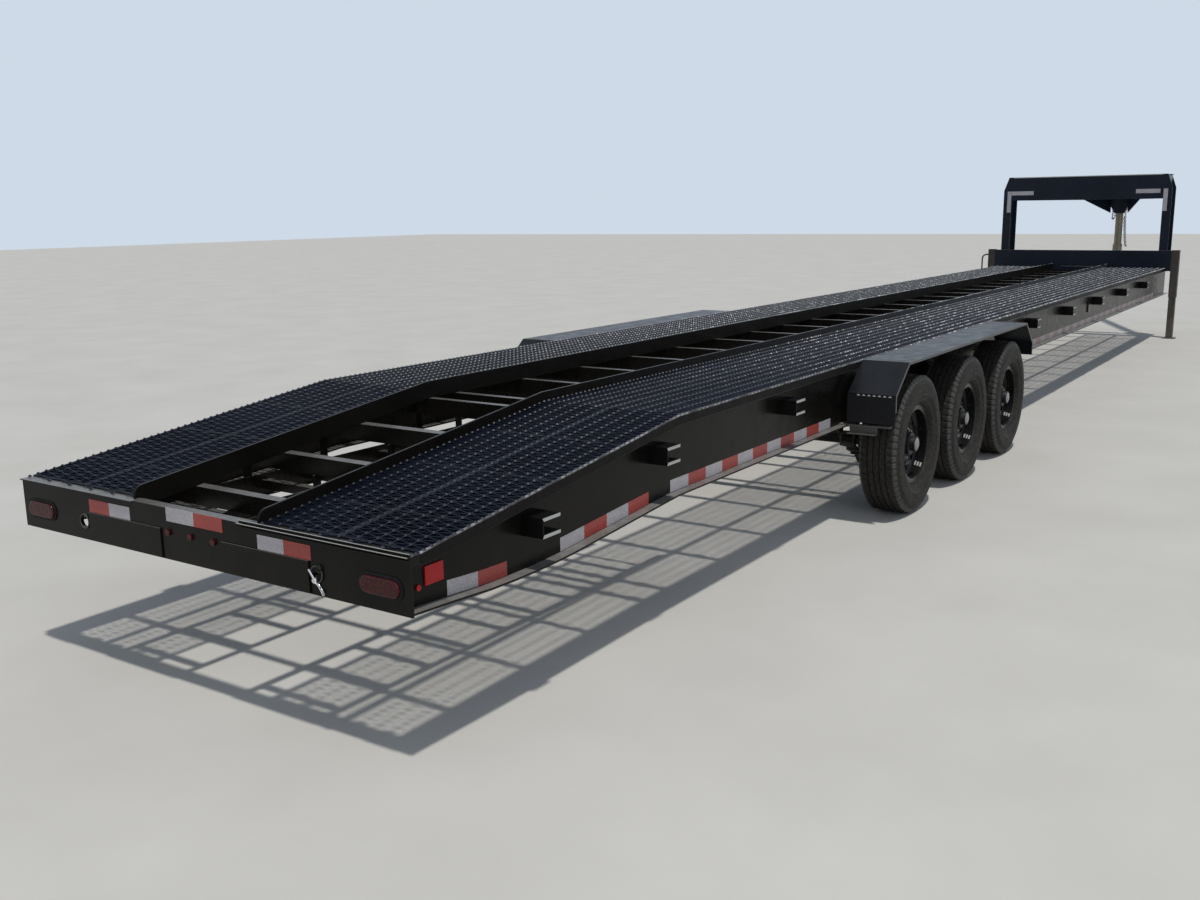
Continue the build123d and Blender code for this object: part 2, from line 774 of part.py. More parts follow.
with BuildPart() as hangers:
    for cheek, (places, pin_z, inner_half, held_pin, pin_hole) in zip(cheeks, hanger_rows):
        for _, side in side_rows:
            for edge in (-1, 1):
                with BuildSketch(side_plane(side * beam_y + edge * (inner_half + hanger_wall / 2))):
                    with Locations([(at(x), pin_z) for x in places]):
                        add(cheek)
                extrude(amount=hanger_wall / 2, both=True)
            with BuildSketch(Plane.XY.offset(beam_bottom)):
                with Locations([(at(x), side * beam_y) for x in places]):
                    Rectangle(hanger_top_length, 2 * inner_half)
            extrude(amount=-hanger_wall)
            if held_pin:
                with BuildSketch(side_plane(side * beam_y)):
                    with Locations([(at(x), pin_z) for x in places]):
                        Circle(held_pin)
                extrude(amount=inner_half, both=True)
export(hangers.part, "spring_hangers")

with BuildSketch() as equalizer_profile:
    with Locations((-equalizer_half, -equalizer_rise), (equalizer_half, -equalizer_rise)):
        Circle(equalizer_end)
    Circle(equalizer_hub)
    make_hull()
    with Locations((-equalizer_half, -equalizer_rise), (equalizer_half, -equalizer_rise)):
        Circle(pin_radius + running_gap, mode=Mode.SUBTRACT)
    Circle(pivot_radius + running_gap, mode=Mode.SUBTRACT)

with BuildPart() as equalizers:
    for _, side in side_rows:
        with BuildSketch(side_plane(side * beam_y)):
            with Locations([(at(x), pivot_z) for x in pivot_places]):
                add(equalizer_profile.sketch)
        extrude(amount=spring_width / 2, both=True)
export(equalizers.part, "equalizers")

with BuildPart() as shackles:
    shackle_z = (eye_z + link_z) / 2
    pins = [(at(x), z) for x in shackle_places for z in (eye_z, link_z)]
    for _, side in side_rows:
        for edge in (-1, 1):
            with BuildSketch(side_plane(side * beam_y + edge * (shackle_inner + shackle_wall / 2))):
                with Locations([(at(x), shackle_z) for x in shackle_places]):
                    SlotCenterToCenter(shackle_length, shackle_width, rotation=90)
            extrude(amount=shackle_wall / 2, both=True)
        with BuildSketch(side_plane(side * beam_y)):
            with Locations(pins):
                Circle(pin_radius)
        extrude(amount=shackle_inner, both=True)
        with BuildSketch(side_plane(side * beam_y)):
            with Locations((at(rear_eye), link_z)):
                Circle(pin_radius)
        extrude(amount=hanger_inner + hanger_wall, both=True)
export(shackles.part, "shackles")

# Header: a channel across the front of the deck, open to the front
header_half = deck_half + header_overhang
header_top = steel_top + header_depth

with BuildPart() as header:
    with BuildSketch(side_plane(0)):
        with Locations((at(deck_length), steel_top)):
            Rectangle(header_flange, header_depth, align=(Align.MIN, Align.MIN))
            with Locations((beam_web, beam_flange)):
                Rectangle(header_flange, header_depth - 2 * beam_flange,
                          align=(Align.MIN, Align.MIN), mode=Mode.SUBTRACT)
    extrude(amount=header_half, both=True)
export(header.part, "header")

# Front beam: a channel across the front under the header, between the side beams
with BuildPart() as front_beam:
    with BuildSketch(side_plane(0)):
        with Locations((at(deck_length), beam_bottom)):
            Rectangle(header_flange, beam_depth, align=(Align.MIN, Align.MIN))
            with Locations((beam_web, beam_flange)):
                Rectangle(header_flange, beam_depth - 2 * beam_flange,
                          align=(Align.MIN, Align.MIN), mode=Mode.SUBTRACT)
    extrude(amount=cross_span / 2, both=True)
export(front_beam.part, "front_beam")

# Gooseneck risers: I beams standing on the side beams, with cut outer corners on top
portal_cut_width = 60
portal_cut_height = 170
cut_overrun = 1.1
arm_bottom = portal_height - arm_depth


def portal_corner(side):
    # The triangle cut off at the top outer corner, which runs on past the beam's edge
    inner = deck_half - portal_cut_width
    outer = inner + cut_overrun * portal_cut_width
    return [
        (side * inner, portal_height),
        (side * outer, portal_height),
        (side * outer, portal_height - cut_overrun * portal_cut_height),
    ]


for side_name, side in side_rows:
    with BuildPart() as riser:
        with BuildSketch(Plane.XY.offset(steel_top)):
            with Locations((at(riser_x), side * beam_y)):
                Rectangle(riser_depth, beam_flange_width, align=(Align.MIN, Align.CENTER))
                with Locations((beam_flange, 0)):
                    Rectangle(riser_depth - 2 * beam_flange, beam_flange_width,
                              align=(Align.MIN, Align.CENTER), mode=Mode.SUBTRACT)
                Rectangle(riser_depth, beam_web, align=(Align.MIN, Align.CENTER))
        extrude(amount=portal_height - steel_top)
        with BuildSketch(Plane.YZ.offset(at(riser_x - 1))):
            Polygon(*portal_corner(side), align=None)
        extrude(amount=riser_depth + 2, mode=Mode.SUBTRACT)
    export(riser.part, f"riser_{side_name}")

# Portal beam: a channel between the tops of the risers, open to the front
with BuildPart() as portal_beam:
    with BuildSketch(side_plane(0)):
        with Locations((at(riser_x), arm_bottom)):
            Rectangle(header_flange, arm_depth, align=(Align.MIN, Align.MIN))
            with Locations((beam_web, beam_flange)):
                Rectangle(header_flange, arm_depth - 2 * beam_flange,
                          align=(Align.MIN, Align.MIN), mode=Mode.SUBTRACT)
    extrude(amount=cross_span / 2, both=True)
export(portal_beam.part, "portal_beam")

# Neck arms: I beams that run forward and inward from the risers to the nose
arm_end_y = 120
arm_end_x = coupler_x - coupler_housing_size / 2
arm_run = arm_end_x - beam_end
arm_slant = math.hypot(arm_run, beam_y - arm_end_y) / arm_run
arm_start_y = deck_half - beam_flange_width / 2 * arm_slant


def arm_outline(side, half_width):
    # Plan of the arm, cut square to the riser and to the nose
    shift = half_width * arm_slant
    return [
        (at(beam_end), side * (arm_start_y - shift)), (at(arm_end_x), side * (arm_end_y - shift)),
        (at(arm_end_x), side * (arm_end_y + shift)), (at(beam_end), side * (arm_start_y + shift)),
    ]


for side_name, side in side_rows:
    with BuildPart() as neck_arm:
        for low in (arm_bottom, portal_height - beam_flange):
            with BuildSketch(Plane.XY.offset(low)):
                Polygon(*arm_outline(side, beam_flange_width / 2), align=None)
            extrude(amount=beam_flange)
        with BuildSketch(Plane.XY.offset(arm_bottom)):
            Polygon(*arm_outline(side, beam_web / 2), align=None)
        extrude(amount=arm_depth)
        with BuildSketch(Plane.YZ.offset(at(beam_end))):
            Polygon(*portal_corner(side), align=None)
        extrude(amount=riser_depth, mode=Mode.SUBTRACT)
    export(neck_arm.part, f"neck_arm_{side_name}")

# Nose: the coupler's square housing with its gussets, between the ends of the arms
housing_drop = 198
housing_bottom = arm_bottom - housing_drop
housing_half = coupler_housing_size / 2
nose_half = arm_end_y + beam_flange_width / 2 * arm_slant

with BuildPart() as nose:
    with BuildSketch(Plane.XY.offset(housing_bottom)):
        with Locations((at(coupler_x), 0)):
            Rectangle(coupler_housing_size, coupler_housing_size)
            Circle(coupler_tube_diameter / 2 + running_gap, mode=Mode.SUBTRACT)
    extrude(amount=portal_height - housing_bottom)
    for _, side in side_rows:
        with BuildSketch(Plane.YZ.offset(at(coupler_x))):
            Polygon((side * housing_half, housing_bottom), (side * nose_half, arm_bottom),
                    (side * nose_half, portal_height), (side * housing_half, portal_height), align=None)
        extrude(amount=housing_half, both=True)
export(nose.part, "nose_housing")

# Coupler: the inner tube with the ball socket at its lower end
socket_depth = 60
coupler_radius = 64
coupler_head = 120
coupler_top_gap = 60
socket_radius = ball_diameter / 2 + running_gap

with BuildPart() as coupler:
    with BuildSketch(Plane.XY.offset(coupler_bottom)):
        with Locations((at(coupler_x), 0)):
            Circle(coupler_tube_diameter / 2)
    extrude(amount=portal_height - coupler_top_gap - coupler_bottom)
    with BuildSketch(Plane.XY.offset(coupler_bottom)):
        with Locations((at(coupler_x), 0)):
            Circle(coupler_radius)
    extrude(amount=coupler_head)
    with BuildSketch(Plane.XY.offset(coupler_bottom)):
        with Locations((at(coupler_x), 0)):
            Circle(socket_radius)
    extrude(amount=socket_depth, mode=Mode.SUBTRACT)
export(coupler.part, "coupler")

# Landing jacks: square tubes at the ends of the header, with legs on foot plates inside them
jack_x = deck_length + jack_tube / 2
jack_y = header_half + jack_tube / 2
jack_bottom = header_top - jack_tube_length
leg_side = jack_tube - 2 * (jack_wall + running_gap)

for side_name, side in side_rows:
    with BuildPart() as jack:
        with BuildSketch(Plane.XY.offset(jack_bottom)):
            with Locations((at(jack_x), side * jack_y)):
                Rectangle(jack_tube, jack_tube)
                Rectangle(jack_tube - 2 * jack_wall, jack_tube - 2 * jack_wall, mode=Mode.SUBTRACT)
        extrude(amount=jack_tube_length)
        with BuildSketch(Plane.XY.offset(header_top)):
            with Locations((at(jack_x), side * jack_y)):
                Rectangle(jack_tube, jack_tube)
        extrude(amount=jack_wall)
    export(jack.part, f"jack_tube_{side_name}")

    with BuildPart() as leg:
        with BuildSketch(Plane.XY.offset(foot_thickness)):
            with Locations((at(jack_x), side * jack_y)):
                Rectangle(leg_side, leg_side)
        extrude(amount=jack_bottom + leg_insertion - foot_thickness)
        with BuildSketch(Plane.XY):
            with Locations((at(jack_x), side * jack_y)):
                Rectangle(foot_size, foot_size)
                fillet(vertices(), foot_thickness)
        extrude(amount=foot_thickness)
    export(leg.part, f"jack_leg_{side_name}")

# Jack drive: a shaft between the jacks inside the header, and the bent crank at the left jack
drive_radius = 12
drive_z = header_top - 66
crank_radius = 9
crank_out = 30
crank_bend = 60
crank_fall = 150

with BuildPart() as drive_shaft:
    with BuildSketch(Plane.XZ.offset(-header_half)):
        with Locations((at(jack_x), drive_z)):
            Circle(drive_radius)
    extrude(amount=2 * header_half)
export(drive_shaft.part, "jack_drive_shaft")

with BuildPart() as crank:
    crank_face = jack_y + jack_tube / 2
    crank_plane = Plane(origin=(at(jack_x), crank_face, drive_z), x_dir=(0, 1, 0), z_dir=(1, 0, 0))
    with BuildLine(crank_plane) as crank_path:
        Line((0, 0), (crank_out, 0))
        RadiusArc((crank_out, 0), (crank_out + crank_bend, -crank_bend), crank_bend)
        Line((crank_out + crank_bend, -crank_bend), (crank_out + crank_bend, -crank_bend - crank_fall))
    with BuildSketch(Plane.XZ.offset(-crank_face)):
        with Locations((at(jack_x), drive_z)):
            Circle(crank_radius)
    sweep(path=crank_path.line)
export(crank.part, "jack_crank")
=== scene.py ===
import json
import math
import bpy
import numpy as np
from mathutils import Matrix, Vector


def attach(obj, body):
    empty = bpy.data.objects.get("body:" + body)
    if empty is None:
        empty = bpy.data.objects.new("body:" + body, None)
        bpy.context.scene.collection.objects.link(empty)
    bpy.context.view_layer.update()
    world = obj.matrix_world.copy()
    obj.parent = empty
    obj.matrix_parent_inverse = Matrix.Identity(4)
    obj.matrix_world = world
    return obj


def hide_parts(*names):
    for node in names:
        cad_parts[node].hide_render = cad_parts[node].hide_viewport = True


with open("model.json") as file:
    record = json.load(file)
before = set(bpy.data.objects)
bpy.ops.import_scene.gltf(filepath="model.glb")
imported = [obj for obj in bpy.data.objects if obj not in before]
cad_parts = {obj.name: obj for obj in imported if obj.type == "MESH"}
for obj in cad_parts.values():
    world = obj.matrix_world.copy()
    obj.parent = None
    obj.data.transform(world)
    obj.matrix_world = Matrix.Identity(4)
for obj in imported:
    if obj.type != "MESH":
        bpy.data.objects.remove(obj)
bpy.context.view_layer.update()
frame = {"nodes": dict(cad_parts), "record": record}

# Gooseneck car hauler trailer. Metres, +X to the gooseneck, +Y to the left, Z up.
# REAR_FACE is the X of the deck's rear face. Places along the trailer are counted from it.
REAR_FACE = -8.20625
STEEL_TOP = 0.847
DECK_TOP = 0.885
# The dovetail falls by DROP from KINK to the rear face.
KINK = 1.6
DROP = 0.185
DECK_LENGTH = 13.84
DECK_HALF = 1.03
RUNNER_IN = 0.34
BEAM_Y = 0.9795
BEAM_BOTTOM = 0.545
BEAM_END = 14.211
WEB_FACE = 0.9835
AXLE_MIDDLE = 4.8
AXLE_PITCH = 0.94
AXLE_X = {"rear": AXLE_MIDDLE - AXLE_PITCH, "middle": AXLE_MIDDLE, "front": AXLE_MIDDLE + AXLE_PITCH}
WHEEL_Y = 1.1675
WHEEL_R = 0.391
FENDER_SKIRT = 1.295 - 0.0012
SIDES = {"left": 1, "right": -1}


def deck_x(place):
    """The X of a place along the trailer."""
    return place + REAR_FACE


def at(place, y, z):
    """The point at a place along the trailer."""
    return np.array((deck_x(place), y, z))


def fall(place):
    """How far the dovetail has dropped at this place along the deck."""
    return DROP / KINK * np.maximum(0, KINK - place)


def place_object(name, data):
    """A new object in the scene."""
    obj = bpy.data.objects.new(name, data)
    bpy.context.scene.collection.objects.link(obj)
    return obj


# Shader nodes
def principled(name):
    """A new material, with its node tree, its shader and the object's own coordinates."""
    material = bpy.data.materials.new(name)
    material.use_nodes = True
    tree = material.node_tree
    coords = tree.nodes.new("ShaderNodeTexCoord").outputs["Object"]
    return material, tree, tree.nodes["Principled BSDF"], coords


def noise(tree, coords, scale, detail=4, rough=0.55, stretch=None):
    """Noise from 0 to 1; stretch scales the coordinates along each axis."""
    if stretch:
        mapping = tree.nodes.new("ShaderNodeMapping")
        mapping.inputs["Scale"].default_value = stretch
        tree.links.new(coords, mapping.inputs["Vector"])
        coords = mapping.outputs["Vector"]
    node = tree.nodes.new("ShaderNodeTexNoise")
    node.inputs["Scale"].default_value = scale
    node.inputs["Detail"].default_value = detail
    node.inputs["Roughness"].default_value = rough
    tree.links.new(coords, node.inputs["Vector"])
    return node.outputs["Fac"]


def cell_distance(tree, coords, scale):
    """Distance from the middle of small irregular cells."""
    node = tree.nodes.new("ShaderNodeTexVoronoi")
    node.inputs["Scale"].default_value = scale
    tree.links.new(coords, node.inputs["Vector"])
    return node.outputs["Distance"]


def ramp(tree, value, low, high):
    """Goes from low to high, each a (value, colour) pair, where a grey is a single number."""
    node = tree.nodes.new("ShaderNodeValToRGB")
    tree.links.new(value, node.inputs["Fac"])
    for element, (position, colour) in zip(node.color_ramp.elements, (low, high)):
        if isinstance(colour, (int, float)):
            colour = (colour, colour, colour)
        element.position = position
        element.color = (*colour, 1)
    return node.outputs["Color"]


def mix(tree, share, first, second):
    """The first colour where share is 0, the second where it is 1."""
    node = tree.nodes.new("ShaderNodeMix")
    node.data_type = "RGBA"
    tree.links.new(share, node.inputs["Factor"])
    for socket, value in ((node.inputs["A"], first), (node.inputs["B"], second)):
        if isinstance(value, tuple):
            socket.default_value = (*value, 1)
        else:
            tree.links.new(value, socket)
    return node.outputs["Result"]


def bump(tree, shader, height, strength, depth):
    """Bumps the shader's surface by a height."""
    node = tree.nodes.new("ShaderNodeBump")
    node.inputs["Strength"].default_value = strength
    node.inputs["Distance"].default_value = depth
    tree.links.new(height, node.inputs["Height"])
    tree.links.new(node.outputs["Normal"], shader.inputs["Normal"])


def calculate(tree, operation, *values):
    """A Math node on one or two numbers or node outputs."""
    node = tree.nodes.new("ShaderNodeMath")
    node.operation = operation
    for socket, value in zip(node.inputs, values):
        if isinstance(value, (int, float)):
            socket.default_value = value
        else:
            tree.links.new(value, socket)
    return node.outputs[0]


def times(tree, first, second):
    """The product of two values."""
    return calculate(tree, "MULTIPLY", first, second)


def over(tree, value, limit):
    """1 where value is over the limit, else 0."""
    return calculate(tree, "GREATER_THAN", value, limit)


def map_range(tree, value, start, end, first, last):
    """Goes from first to last as value goes from start to end."""
    node = tree.nodes.new("ShaderNodeMapRange")
    tree.links.new(value, node.inputs["Value"])
    node.inputs["From Min"].default_value = start
    node.inputs["From Max"].default_value = end
    node.inputs["To Min"].default_value = first
    node.inputs["To Max"].default_value = last
    return node.outputs[0]


def axes(tree, vector):
    """The X, Y and Z outputs of a vector."""
    split = tree.nodes.new("ShaderNodeSeparateXYZ")
    tree.links.new(vector, split.inputs[0])
    return split.outputs


def off_centre(tree, coords):
    """Distance from the middle plane of the trailer, or of a wheel."""
    return calculate(tree, "ABSOLUTE", axes(tree, coords)["Y"])


def facing_up(tree):
    """1 on faces that look up, 0 on walls and undersides."""
    normal = tree.nodes.new("ShaderNodeNewGeometry").outputs["Normal"]
    return ramp(tree, axes(tree, normal)["Z"], (0.80, 0.0), (0.95, 1.0))


def towards_front(tree, coords, start, end):
    """0 behind one place along the deck, 1 ahead of another."""
    return map_range(tree, axes(tree, coords)["X"], deck_x(start), deck_x(end), 0, 1)


# Paint layers
ROAD_DUST = (0.16, 0.14, 0.11)
ROAD_DUST_FULL = 0.1
ROAD_DUST_NONE = 0.95
# Dust together with a painted sheen on faces that look up, and the share of it left right of a given y.
TOP_DUST_AND_SHEEN = (0.24, 0.23, 0.215)
THINNED_SHARE = 0.12
GLINT = (0.74, 0.75, 0.77)


def clouded(tree, coords, tones):
    """A base coat that drifts between a dark and a light tone."""
    dark, light = tones
    return ramp(tree, noise(tree, coords, scale=2.3, detail=5), (0.3, dark), (0.7, light))


def road_dust(tree, coords):
    """Share of dust thrown up by the wheels: more towards the ground, broken up by noise."""
    height = map_range(tree, axes(tree, coords)["Z"], ROAD_DUST_FULL, ROAD_DUST_NONE, 1, 0)
    patches = ramp(tree, noise(tree, coords, scale=9, detail=6, rough=0.6), (0.38, 0.0), (0.7, 1.0))
    return times(tree, height, patches)


def top_dust_and_sheen_share(tree, coords, amount, thinned_right_of):
    """Share of dust together with a painted sheen on faces that look up; right of the given y, little is
    left.
    """
    patches = ramp(tree, noise(tree, coords, scale=17, detail=5, rough=0.6), (0.3, 0.6), (0.7, 1.0))
    share = times(tree, times(tree, facing_up(tree), patches), amount)
    if thinned_right_of is None:
        return share
    kept = calculate(tree, "MAXIMUM", over(tree, axes(tree, coords)["Y"], thinned_right_of), THINNED_SHARE)
    return times(tree, share, kept)


def coat(tree, shader, coords, colour, smooth, rough, specular):
    """Sets a paint's colour, a roughness that varies between two values, and its specular level."""
    tree.links.new(colour, shader.inputs["Base Color"])
    patches = noise(tree, coords, scale=14, detail=6, rough=0.6)
    tree.links.new(ramp(tree, patches, (0.3, smooth), (0.75, rough)), shader.inputs["Roughness"])
    shader.inputs["Specular IOR Level"].default_value = specular


# Kinds of material
def paint(name, tones, roughness, specular, dust=0.0, peel=0.02, top_dust_and_sheen=0.0, thinned_right_of=None, edge=None,
          ahead=None, glint=None):
    """Gloss paint. dust is thrown up by the wheels; dust with a painted sheen lies on faces that look up,
    little of it right of a given y. edge is (|y|, colour) of a painted highlight on the outer side. ahead
    is (colour, start, end): the painted sheen it turns to towards the front. glint is (start, end): where
    painted glints set in."""
    material, tree, shader, coords = principled(name)
    colour = clouded(tree, coords, tones)
    if dust:
        colour = mix(tree, times(tree, road_dust(tree, coords), dust), colour, ROAD_DUST)
    # Dust together with a painted sheen on faces that look up.
    if top_dust_and_sheen:
        colour = mix(tree, top_dust_and_sheen_share(tree, coords, top_dust_and_sheen, thinned_right_of), colour, TOP_DUST_AND_SHEEN)
    # A painted grey sheen that comes in towards the front.
    if ahead:
        sheen_colour, start, end = ahead
        colour = mix(tree, towards_front(tree, coords, start, end), colour, sheen_colour)
    if glint:
        specks = ramp(tree, noise(tree, coords, scale=43, detail=2), (0.56, 0.0), (0.62, 1.0))
        colour = mix(tree, times(tree, specks, towards_front(tree, coords, *glint)), colour, GLINT)
    # A painted highlight on the outer side beyond a given |y|.
    if edge:
        limit, painted_highlight = edge
        colour = mix(tree, over(tree, off_centre(tree, coords), limit), colour, painted_highlight)
    coat(tree, shader, coords, colour, roughness * 0.8, roughness * 1.3, specular)
    bump(tree, shader, noise(tree, coords, scale=320, detail=2), strength=peel, depth=0.002)
    return material


def deck_paint(name, tones):
    """Grating paint: black on top and on the deck's outer side, a painted highlight in patches on that
    side's top.
    """
    side_black = (0.008, 0.0075, 0.007)
    top_black = (0.004, 0.005, 0.009)
    # A painted highlight along the deck's outer top edge, broken into patches.
    painted_highlight = (0.36, 0.36, 0.37)
    side_from = DECK_HALF - 0.0005
    highlight_from = DECK_HALF - 0.0055
    highlight_above = DECK_TOP - 0.006
    material, tree, shader, coords = principled(name)
    colour = clouded(tree, coords, tones)
    offset = off_centre(tree, coords)
    colour = mix(tree, over(tree, offset, side_from), colour, side_black)
    behind_kink = calculate(tree, "SUBTRACT", deck_x(KINK), axes(tree, coords)["X"])
    drop = times(tree, calculate(tree, "MAXIMUM", behind_kink, 0.0), DROP / KINK)
    level = calculate(tree, "ADD", axes(tree, coords)["Z"], drop)
    edge = times(tree, over(tree, level, highlight_above), over(tree, offset, highlight_from))
    colour = mix(tree, facing_up(tree), colour, top_black)
    highlight_patches = ramp(tree, noise(tree, coords, scale=9, detail=4, rough=0.6), (0.42, 0.18), (0.58, 1.0))
    colour = mix(tree, times(tree, edge, highlight_patches), colour, painted_highlight)
    coat(tree, shader, coords, colour, 0.42, 0.60, 0.08)
    bump(tree, shader, noise(tree, coords, scale=160, detail=3), strength=0.35, depth=0.003)
    return material


def rail_paint(name, tones):
    """Inner rail paint: black inside, a painted grey sheen on the runner's side, painted highlight dashes
    on its top.
    """
    runner_side = RUNNER_IN - 0.0015
    # A painted grey sheen on the runner's side towards the front, and painted highlight dashes on the top.
    sheen_span = (1.9, 8.0)
    highlight_span = (4.0, 6.5)
    greyed = (0.045, 0.048, 0.056)
    painted_highlight = (0.62, 0.62, 0.63)
    material, tree, shader, coords = principled(name)
    colour = clouded(tree, coords, tones)
    outer = over(tree, off_centre(tree, coords), runner_side)
    colour = mix(tree, times(tree, outer, towards_front(tree, coords, *sheen_span)), colour, greyed)
    dashes = ramp(tree, noise(tree, coords, scale=6, detail=3), (0.44, 0.0), (0.54, 1.0))
    top = times(tree, times(tree, facing_up(tree), dashes), towards_front(tree, coords, *highlight_span))
    colour = mix(tree, top, colour, painted_highlight)
    coat(tree, shader, coords, colour, 0.28, 0.44, 0.10)
    bump(tree, shader, noise(tree, coords, scale=320, detail=2), strength=0.02, depth=0.002)
    return material


def scuffed(tree, coords, colour):
    """A tyre's colour with fine light rings on its walls and greyed shoulders."""
    ring_pitch = 0.0155
    ring_colour = (0.050, 0.048, 0.044)
    wall_from = 0.104
    shoulder_from = 0.087
    shoulder_radius = 0.3655
    shoulder_colour = (0.078, 0.077, 0.076)
    place = axes(tree, coords)
    squares = [times(tree, place[axis], place[axis]) for axis in "XZ"]
    radius = calculate(tree, "SQRT", calculate(tree, "ADD", *squares))
    width = off_centre(tree, coords)
    wave = calculate(tree, "SINE", times(tree, radius, 2 * math.pi / ring_pitch))
    rings = times(tree, ramp(tree, wave, (0.72, 0.0), (0.94, 0.55)), over(tree, width, wall_from))
    colour = mix(tree, rings, colour, ring_colour)
    worn = ramp(tree, noise(tree, coords, scale=38, detail=4, rough=0.6), (0.3, 0.55), (0.7, 0.9))
    shoulder = times(tree, over(tree, width, shoulder_from), over(tree, radius, shoulder_radius))
    return mix(tree, times(tree, shoulder, worn), colour, shoulder_colour)


def rubber(name, tones, dust, tyre=False):
    """Dusty rubber; a tyre is scuffed too."""
    dust_colour = (0.17, 0.155, 0.13)
    material, tree, shader, coords = principled(name)
    dark, light = tones
    colour = ramp(tree, noise(tree, coords, scale=6, detail=6, rough=0.6), (0.3, dark), (0.72, light))
    if tyre:
        colour = scuffed(tree, coords, colour)
    fine = ramp(tree, noise(tree, coords, scale=55, detail=5, rough=0.65), (0.45, 0.0), (0.8, 1.0))
    colour = mix(tree, times(tree, fine, dust), colour, dust_colour)
    tree.links.new(colour, shader.inputs["Base Color"])
    roughness = ramp(tree, noise(tree, coords, scale=30), (0.3, 0.62), (0.7, 0.82))
    tree.links.new(roughness, shader.inputs["Roughness"])
    shader.inputs["Specular IOR Level"].default_value = 0.25
    bump(tree, shader, noise(tree, coords, scale=420, detail=3), strength=0.12, depth=0.001)
    return material


def metal(name, base, roughness, stretch=(1, 1, 1)):
    """Bare or plated metal with fine scratches."""
    material, tree, shader, coords = principled(name)
    shader.inputs["Metallic"].default_value = 1.0
    dark = tuple(0.82 * value for value in base)
    colour = ramp(tree, noise(tree, coords, scale=18, detail=5), (0.3, dark), (0.7, base))
    tree.links.new(colour, shader.inputs["Base Color"])
    scratch = noise(tree, coords, scale=60, detail=5, rough=0.6, stretch=stretch)
    scratched = ramp(tree, scratch, (0.3, roughness * 0.75), (0.7, roughness * 1.35))
    tree.links.new(scratched, shader.inputs["Roughness"])
    bump(tree, shader, scratch, strength=0.04, depth=0.001)
    return material


def lens(name, base, side_base=None):
    """Moulded lens with prisms; side_base is the colour of lenses on the sides of the deck."""
    side_from = 0.95
    material, tree, shader, coords = principled(name)
    prisms = cell_distance(tree, coords, scale=95)
    deep = tuple(0.35 * value for value in base)
    colour = ramp(tree, prisms, (0.05, base), (0.5, deep))
    if side_base:
        colour = mix(tree, over(tree, off_centre(tree, coords), side_from), colour, side_base)
    tree.links.new(colour, shader.inputs["Base Color"])
    shader.inputs["Roughness"].default_value = 0.16
    shader.inputs["Specular IOR Level"].default_value = 0.22
    shader.inputs["Coat Weight"].default_value = 0.12
    shader.inputs["Coat Roughness"].default_value = 0.06
    bump(tree, shader, prisms, strength=0.35, depth=0.002)
    return material


def tape(name, base):
    """Retroreflective sheeting: a fine lattice of sealed cells under a clear film."""
    material, tree, shader, coords = principled(name)
    cells = cell_distance(tree, coords, scale=190)
    edge = tuple(0.72 * value for value in base)
    lattice = ramp(tree, cells, (0.3, base), (0.62, edge))
    stain = ramp(tree, noise(tree, coords, scale=11, detail=5, rough=0.6), (0.35, 1.0), (0.8, 0.82))
    stained = tree.nodes.new("ShaderNodeMix")
    stained.data_type = "RGBA"
    stained.blend_type = "MULTIPLY"
    stained.inputs["Factor"].default_value = 1.0
    tree.links.new(lattice, stained.inputs["A"])
    tree.links.new(stain, stained.inputs["B"])
    tree.links.new(stained.outputs["Result"], shader.inputs["Base Color"])
    shader.inputs["Roughness"].default_value = 0.42
    shader.inputs["Coat Weight"].default_value = 0.2
    shader.inputs["Coat Roughness"].default_value = 0.2
    bump(tree, shader, cells, strength=0.12, depth=0.0006)
    return material


# The materials, first those of the record's slots; a pair of colours is a paint's dark and light tone
BLACK = ((0.005, 0.0045, 0.0035), (0.008, 0.007, 0.006))
MATERIALS = {
    "black_paint": paint("black_paint", BLACK, 0.26, 0.13, dust=0.05, top_dust_and_sheen=0.55),
    # The grating's tones are black with a painted bluish sky reflection.
    "grating": deck_paint("grating", ((0.005, 0.007, 0.014), (0.011, 0.014, 0.026))),
    "wheel_paint": paint("wheel_paint", ((0.005, 0.005, 0.006), (0.009, 0.009, 0.010)), 0.22, 0.3,
                         dust=0.06),
    "spring_steel": paint("spring_steel", ((0.010, 0.009, 0.008), (0.020, 0.018, 0.016)), 0.5, 0.2,
                          dust=0.4, peel=0.1),
    "tyre": rubber("tyre", ((0.008, 0.0075, 0.006), (0.018, 0.016, 0.0125)), dust=0.20, tyre=True),
    "rubber": rubber("rubber", ((0.003, 0.003, 0.004), (0.007, 0.007, 0.009)), dust=0.02),
    "hub_chrome": metal("hub_cast", (0.08, 0.08, 0.08), 0.5),
    "bare_steel": metal("bare_steel", (0.21, 0.19, 0.14), 0.45, stretch=(1, 1, 6)),
    "red_lamp": lens("red_lamp", (0.105, 0.009, 0.009)),
    "amber_lamp": lens("amber_lamp", (0.16, 0.040, 0.014)),
}
# Where each runner turns grey: the left one, seen flatter in the photograph, does so nearer the rear.
# The grey each runner turns to towards the front is a painted sheen.
SHEEN_SPANS = {"left": (0.8, 4.5), "right": (1.9, 8.0)}
GLINT_SPAN = (2.2, 4.5)
